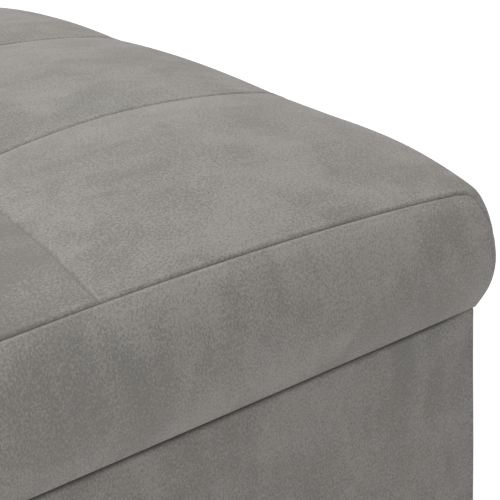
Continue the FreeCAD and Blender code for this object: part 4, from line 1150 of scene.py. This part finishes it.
upper_part = [j for j in reversed(range(stop_count)) if j not in lower_part]
seat_spots = seat_points.reshape(-1, 3)[:, 0]
for row in (0, station_count - 1):
    start = row * stop_count
    slit = zipped([start + j for j in lower_part], [start + j for j in upper_part], seat_spots)
    slit = slit if row == 0 else [face[::-1] for face in slit]
    seat_faces += slit
    for j in (corner - start for face in slit for corner in face):
        if under_columns[j]:
            seat_lengths.append((under_across[j], under_along[row]))
        else:
            seat_lengths.append((fine_across[j], fine_along[row]))
seat_mesh = cloth_mesh("seat_velvet", seat_points * MM, seat_faces, np.array(seat_lengths) * MM)
# The top's front half is painted darker as painted shade, and the seams' painted shade is added to it.
past_middle = np.clip(seat_points[:, :, 1] / FRONT_PAINTED_SHADE["turn"], -FRONT_PAINTED_SHADE["limit"], FRONT_PAINTED_SHADE["limit"])
front_shade_share = FRONT_PAINTED_SHADE["share"] / (1 + np.exp(past_middle))
painted_shade = np.where(top_columns[None], front_shade_share, 0).ravel() + seam_painted_shade
for label, values in (("painted_seam_highlight", painted_seam_highlight), ("painted_shade", painted_shade)):
    seat_mesh.attributes.new(label, "FLOAT", "POINT").data.foreach_set("value", values)
seat_velvet = linked("seat_velvet", seat_mesh)
seat_mesh.materials.append(velvet("seat_velvet", SEAT_PAINTED_LIGHT, cut_from=(0.0, 0.0, 2.9)))
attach(seat_velvet, "lid")
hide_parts("seat_cover_top", "seat_cover_left", "seat_cover_right", "seat_wadding")


# Lid liner: a panel of the same black non-woven cloth that closes the underside of the lid inside the
# velvet's hem, drawn flat and stapled to the board.
LID_LINER_CLEAR = 0.0006
lid_low, lid_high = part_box("lid_liner")
lid_lining = linked("lid_lining", flat_cloth("lid_lining", lid_low, lid_high,
                                             level=lid_low.z + LID_LINER_CLEAR, slack=0.0004, step=0.011))
lid_lining.data.materials.append(lining)
thicken(lid_lining, LINER_THICK)
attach(lid_lining, "lid")
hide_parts("lid_liner")


# Lid bumpers: soft black rubber pads, moulded and stuck under the lid's corners. They meet the rim when the
# lid is shut.
RUBBER_BLACK, RUBBER_BLOOM = (0.016, 0.016, 0.016, 1), (0.035, 0.035, 0.034, 1)
rubber, rubber_place, rubber_sockets = finish_material(
    "bumper_rubber", {"Roughness": 0.75, "Specular IOR Level": 0.35}, bump_strength=0.2, bump_depth=0.0002)
rubber_bloom = noise(rubber_place, scale=240.0, detail=3)
feed(rubber_sockets, {
    "Colour": blend_colours(rubber_bloom, RUBBER_BLACK, RUBBER_BLOOM), "Height": rubber_bloom})
paint(["lid_bumpers"], rubber)


# Studio: a pale floor that runs on under a white surround, one large soft light above the front and a weak
# one off the right end. The floor shows white to the camera but keeps the shadow.
FLOOR_REACH = 30
FLOOR_CORNERS = ((-1, -1), (1, -1), (1, 1), (-1, 1))
FLOOR_GLOW = 0.5
FLOOR_SHADER = {"Base Color": (0.82, 0.82, 0.82, 1), "Roughness": 1.0, "Specular IOR Level": 0.0,
                "Emission Color": (1, 1, 1, 1)}
SURROUND_LIGHT = 0.52


def seen_rays(tree):
    """1 for rays from the camera, straight or through gloss or glass."""
    rays = node(tree, "ShaderNodeLightPath").outputs
    straight = weigh("MAXIMUM", rays["Is Camera Ray"], rays["Is Glossy Ray"])
    return weigh("MAXIMUM", straight, rays["Is Transmission Ray"])


floor_mesh = bpy.data.meshes.new("studio_floor")
floor_mesh.from_pydata([(x * FLOOR_REACH, y * FLOOR_REACH, 0) for x, y in FLOOR_CORNERS], [], [(0, 1, 2, 3)])
floor = linked("studio_floor", floor_mesh)
floor_paint = bpy.data.materials.new("studio_floor")
floor_paint.use_nodes = True
floor_tree = floor_paint.node_tree
floor_shader = floor_tree.nodes["Principled BSDF"].inputs
for label, value in FLOOR_SHADER.items():
    floor_shader[label].default_value = value
feed(floor_shader, {"Emission Strength": in_shares((seen_rays(floor_tree), FLOOR_GLOW))})
floor_mesh.materials.append(floor_paint)

world = bpy.data.worlds.new("studio_surround")
bpy.context.scene.world = world
world.use_nodes = True
world_tree = world.node_tree
surround = world_tree.nodes["Background"].inputs
surround["Color"].default_value = (1, 1, 1, 1)
feed(surround, {
    "Strength": in_shares((seen_rays(world_tree), 1 - SURROUND_LIGHT), start=SURROUND_LIGHT)})


def soft_light(name, place, aim, size, power):
    """Square area light that faces its aim."""
    lamp = bpy.data.lights.new(name, "AREA")
    lamp.shape = "SQUARE"
    lamp.size = size
    lamp.energy = power
    made = linked(name, lamp)
    made.location = place
    made.rotation_euler = (Vector(aim) - Vector(place)).to_track_quat("-Z", "Y").to_euler()


soft_light("overhead_light", place=(-0.285, -1.09, 2.4), aim=(0.215, -0.09, 0.3), size=1.8, power=40)
soft_light("end_light", place=(2.415, -1.39, 1.5), aim=(0.215, -0.19, 0.2), size=1.6, power=9)

CAMERA_PLACE = (0.8386, -0.2428, 0.5862)
CAMERA_YAW, CAMERA_PITCH, CAMERA_ROLL = (math.radians(angle) for angle in (35.63, 23.9, -3.74))
CAMERA_SENSOR = 36.0
CAMERA_NEAREST = 0.01
FOCUS_PIXELS, FRAME_PIXELS = 1495.4, 500
ahead = Vector((-math.cos(CAMERA_PITCH) * math.cos(CAMERA_YAW), math.cos(CAMERA_PITCH) * math.sin(CAMERA_YAW),
                -math.sin(CAMERA_PITCH)))
level_right = Vector((math.sin(CAMERA_YAW), math.cos(CAMERA_YAW), 0))
level_up = level_right.cross(ahead)
rolled_right = level_right * math.cos(CAMERA_ROLL) + level_up * math.sin(CAMERA_ROLL)
rolled_up = level_up * math.cos(CAMERA_ROLL) - level_right * math.sin(CAMERA_ROLL)
camera = linked("camera", bpy.data.cameras.new("camera"))
camera.data.sensor_width = CAMERA_SENSOR
camera.data.lens = FOCUS_PIXELS / FRAME_PIXELS * CAMERA_SENSOR
camera.data.clip_start = CAMERA_NEAREST
camera.matrix_world = (Matrix.Translation(CAMERA_PLACE)
                       @ Matrix((rolled_right, rolled_up, -ahead)).transposed().to_4x4())
bpy.context.scene.camera = camera
bpy.context.scene.view_settings.view_transform = "Standard"
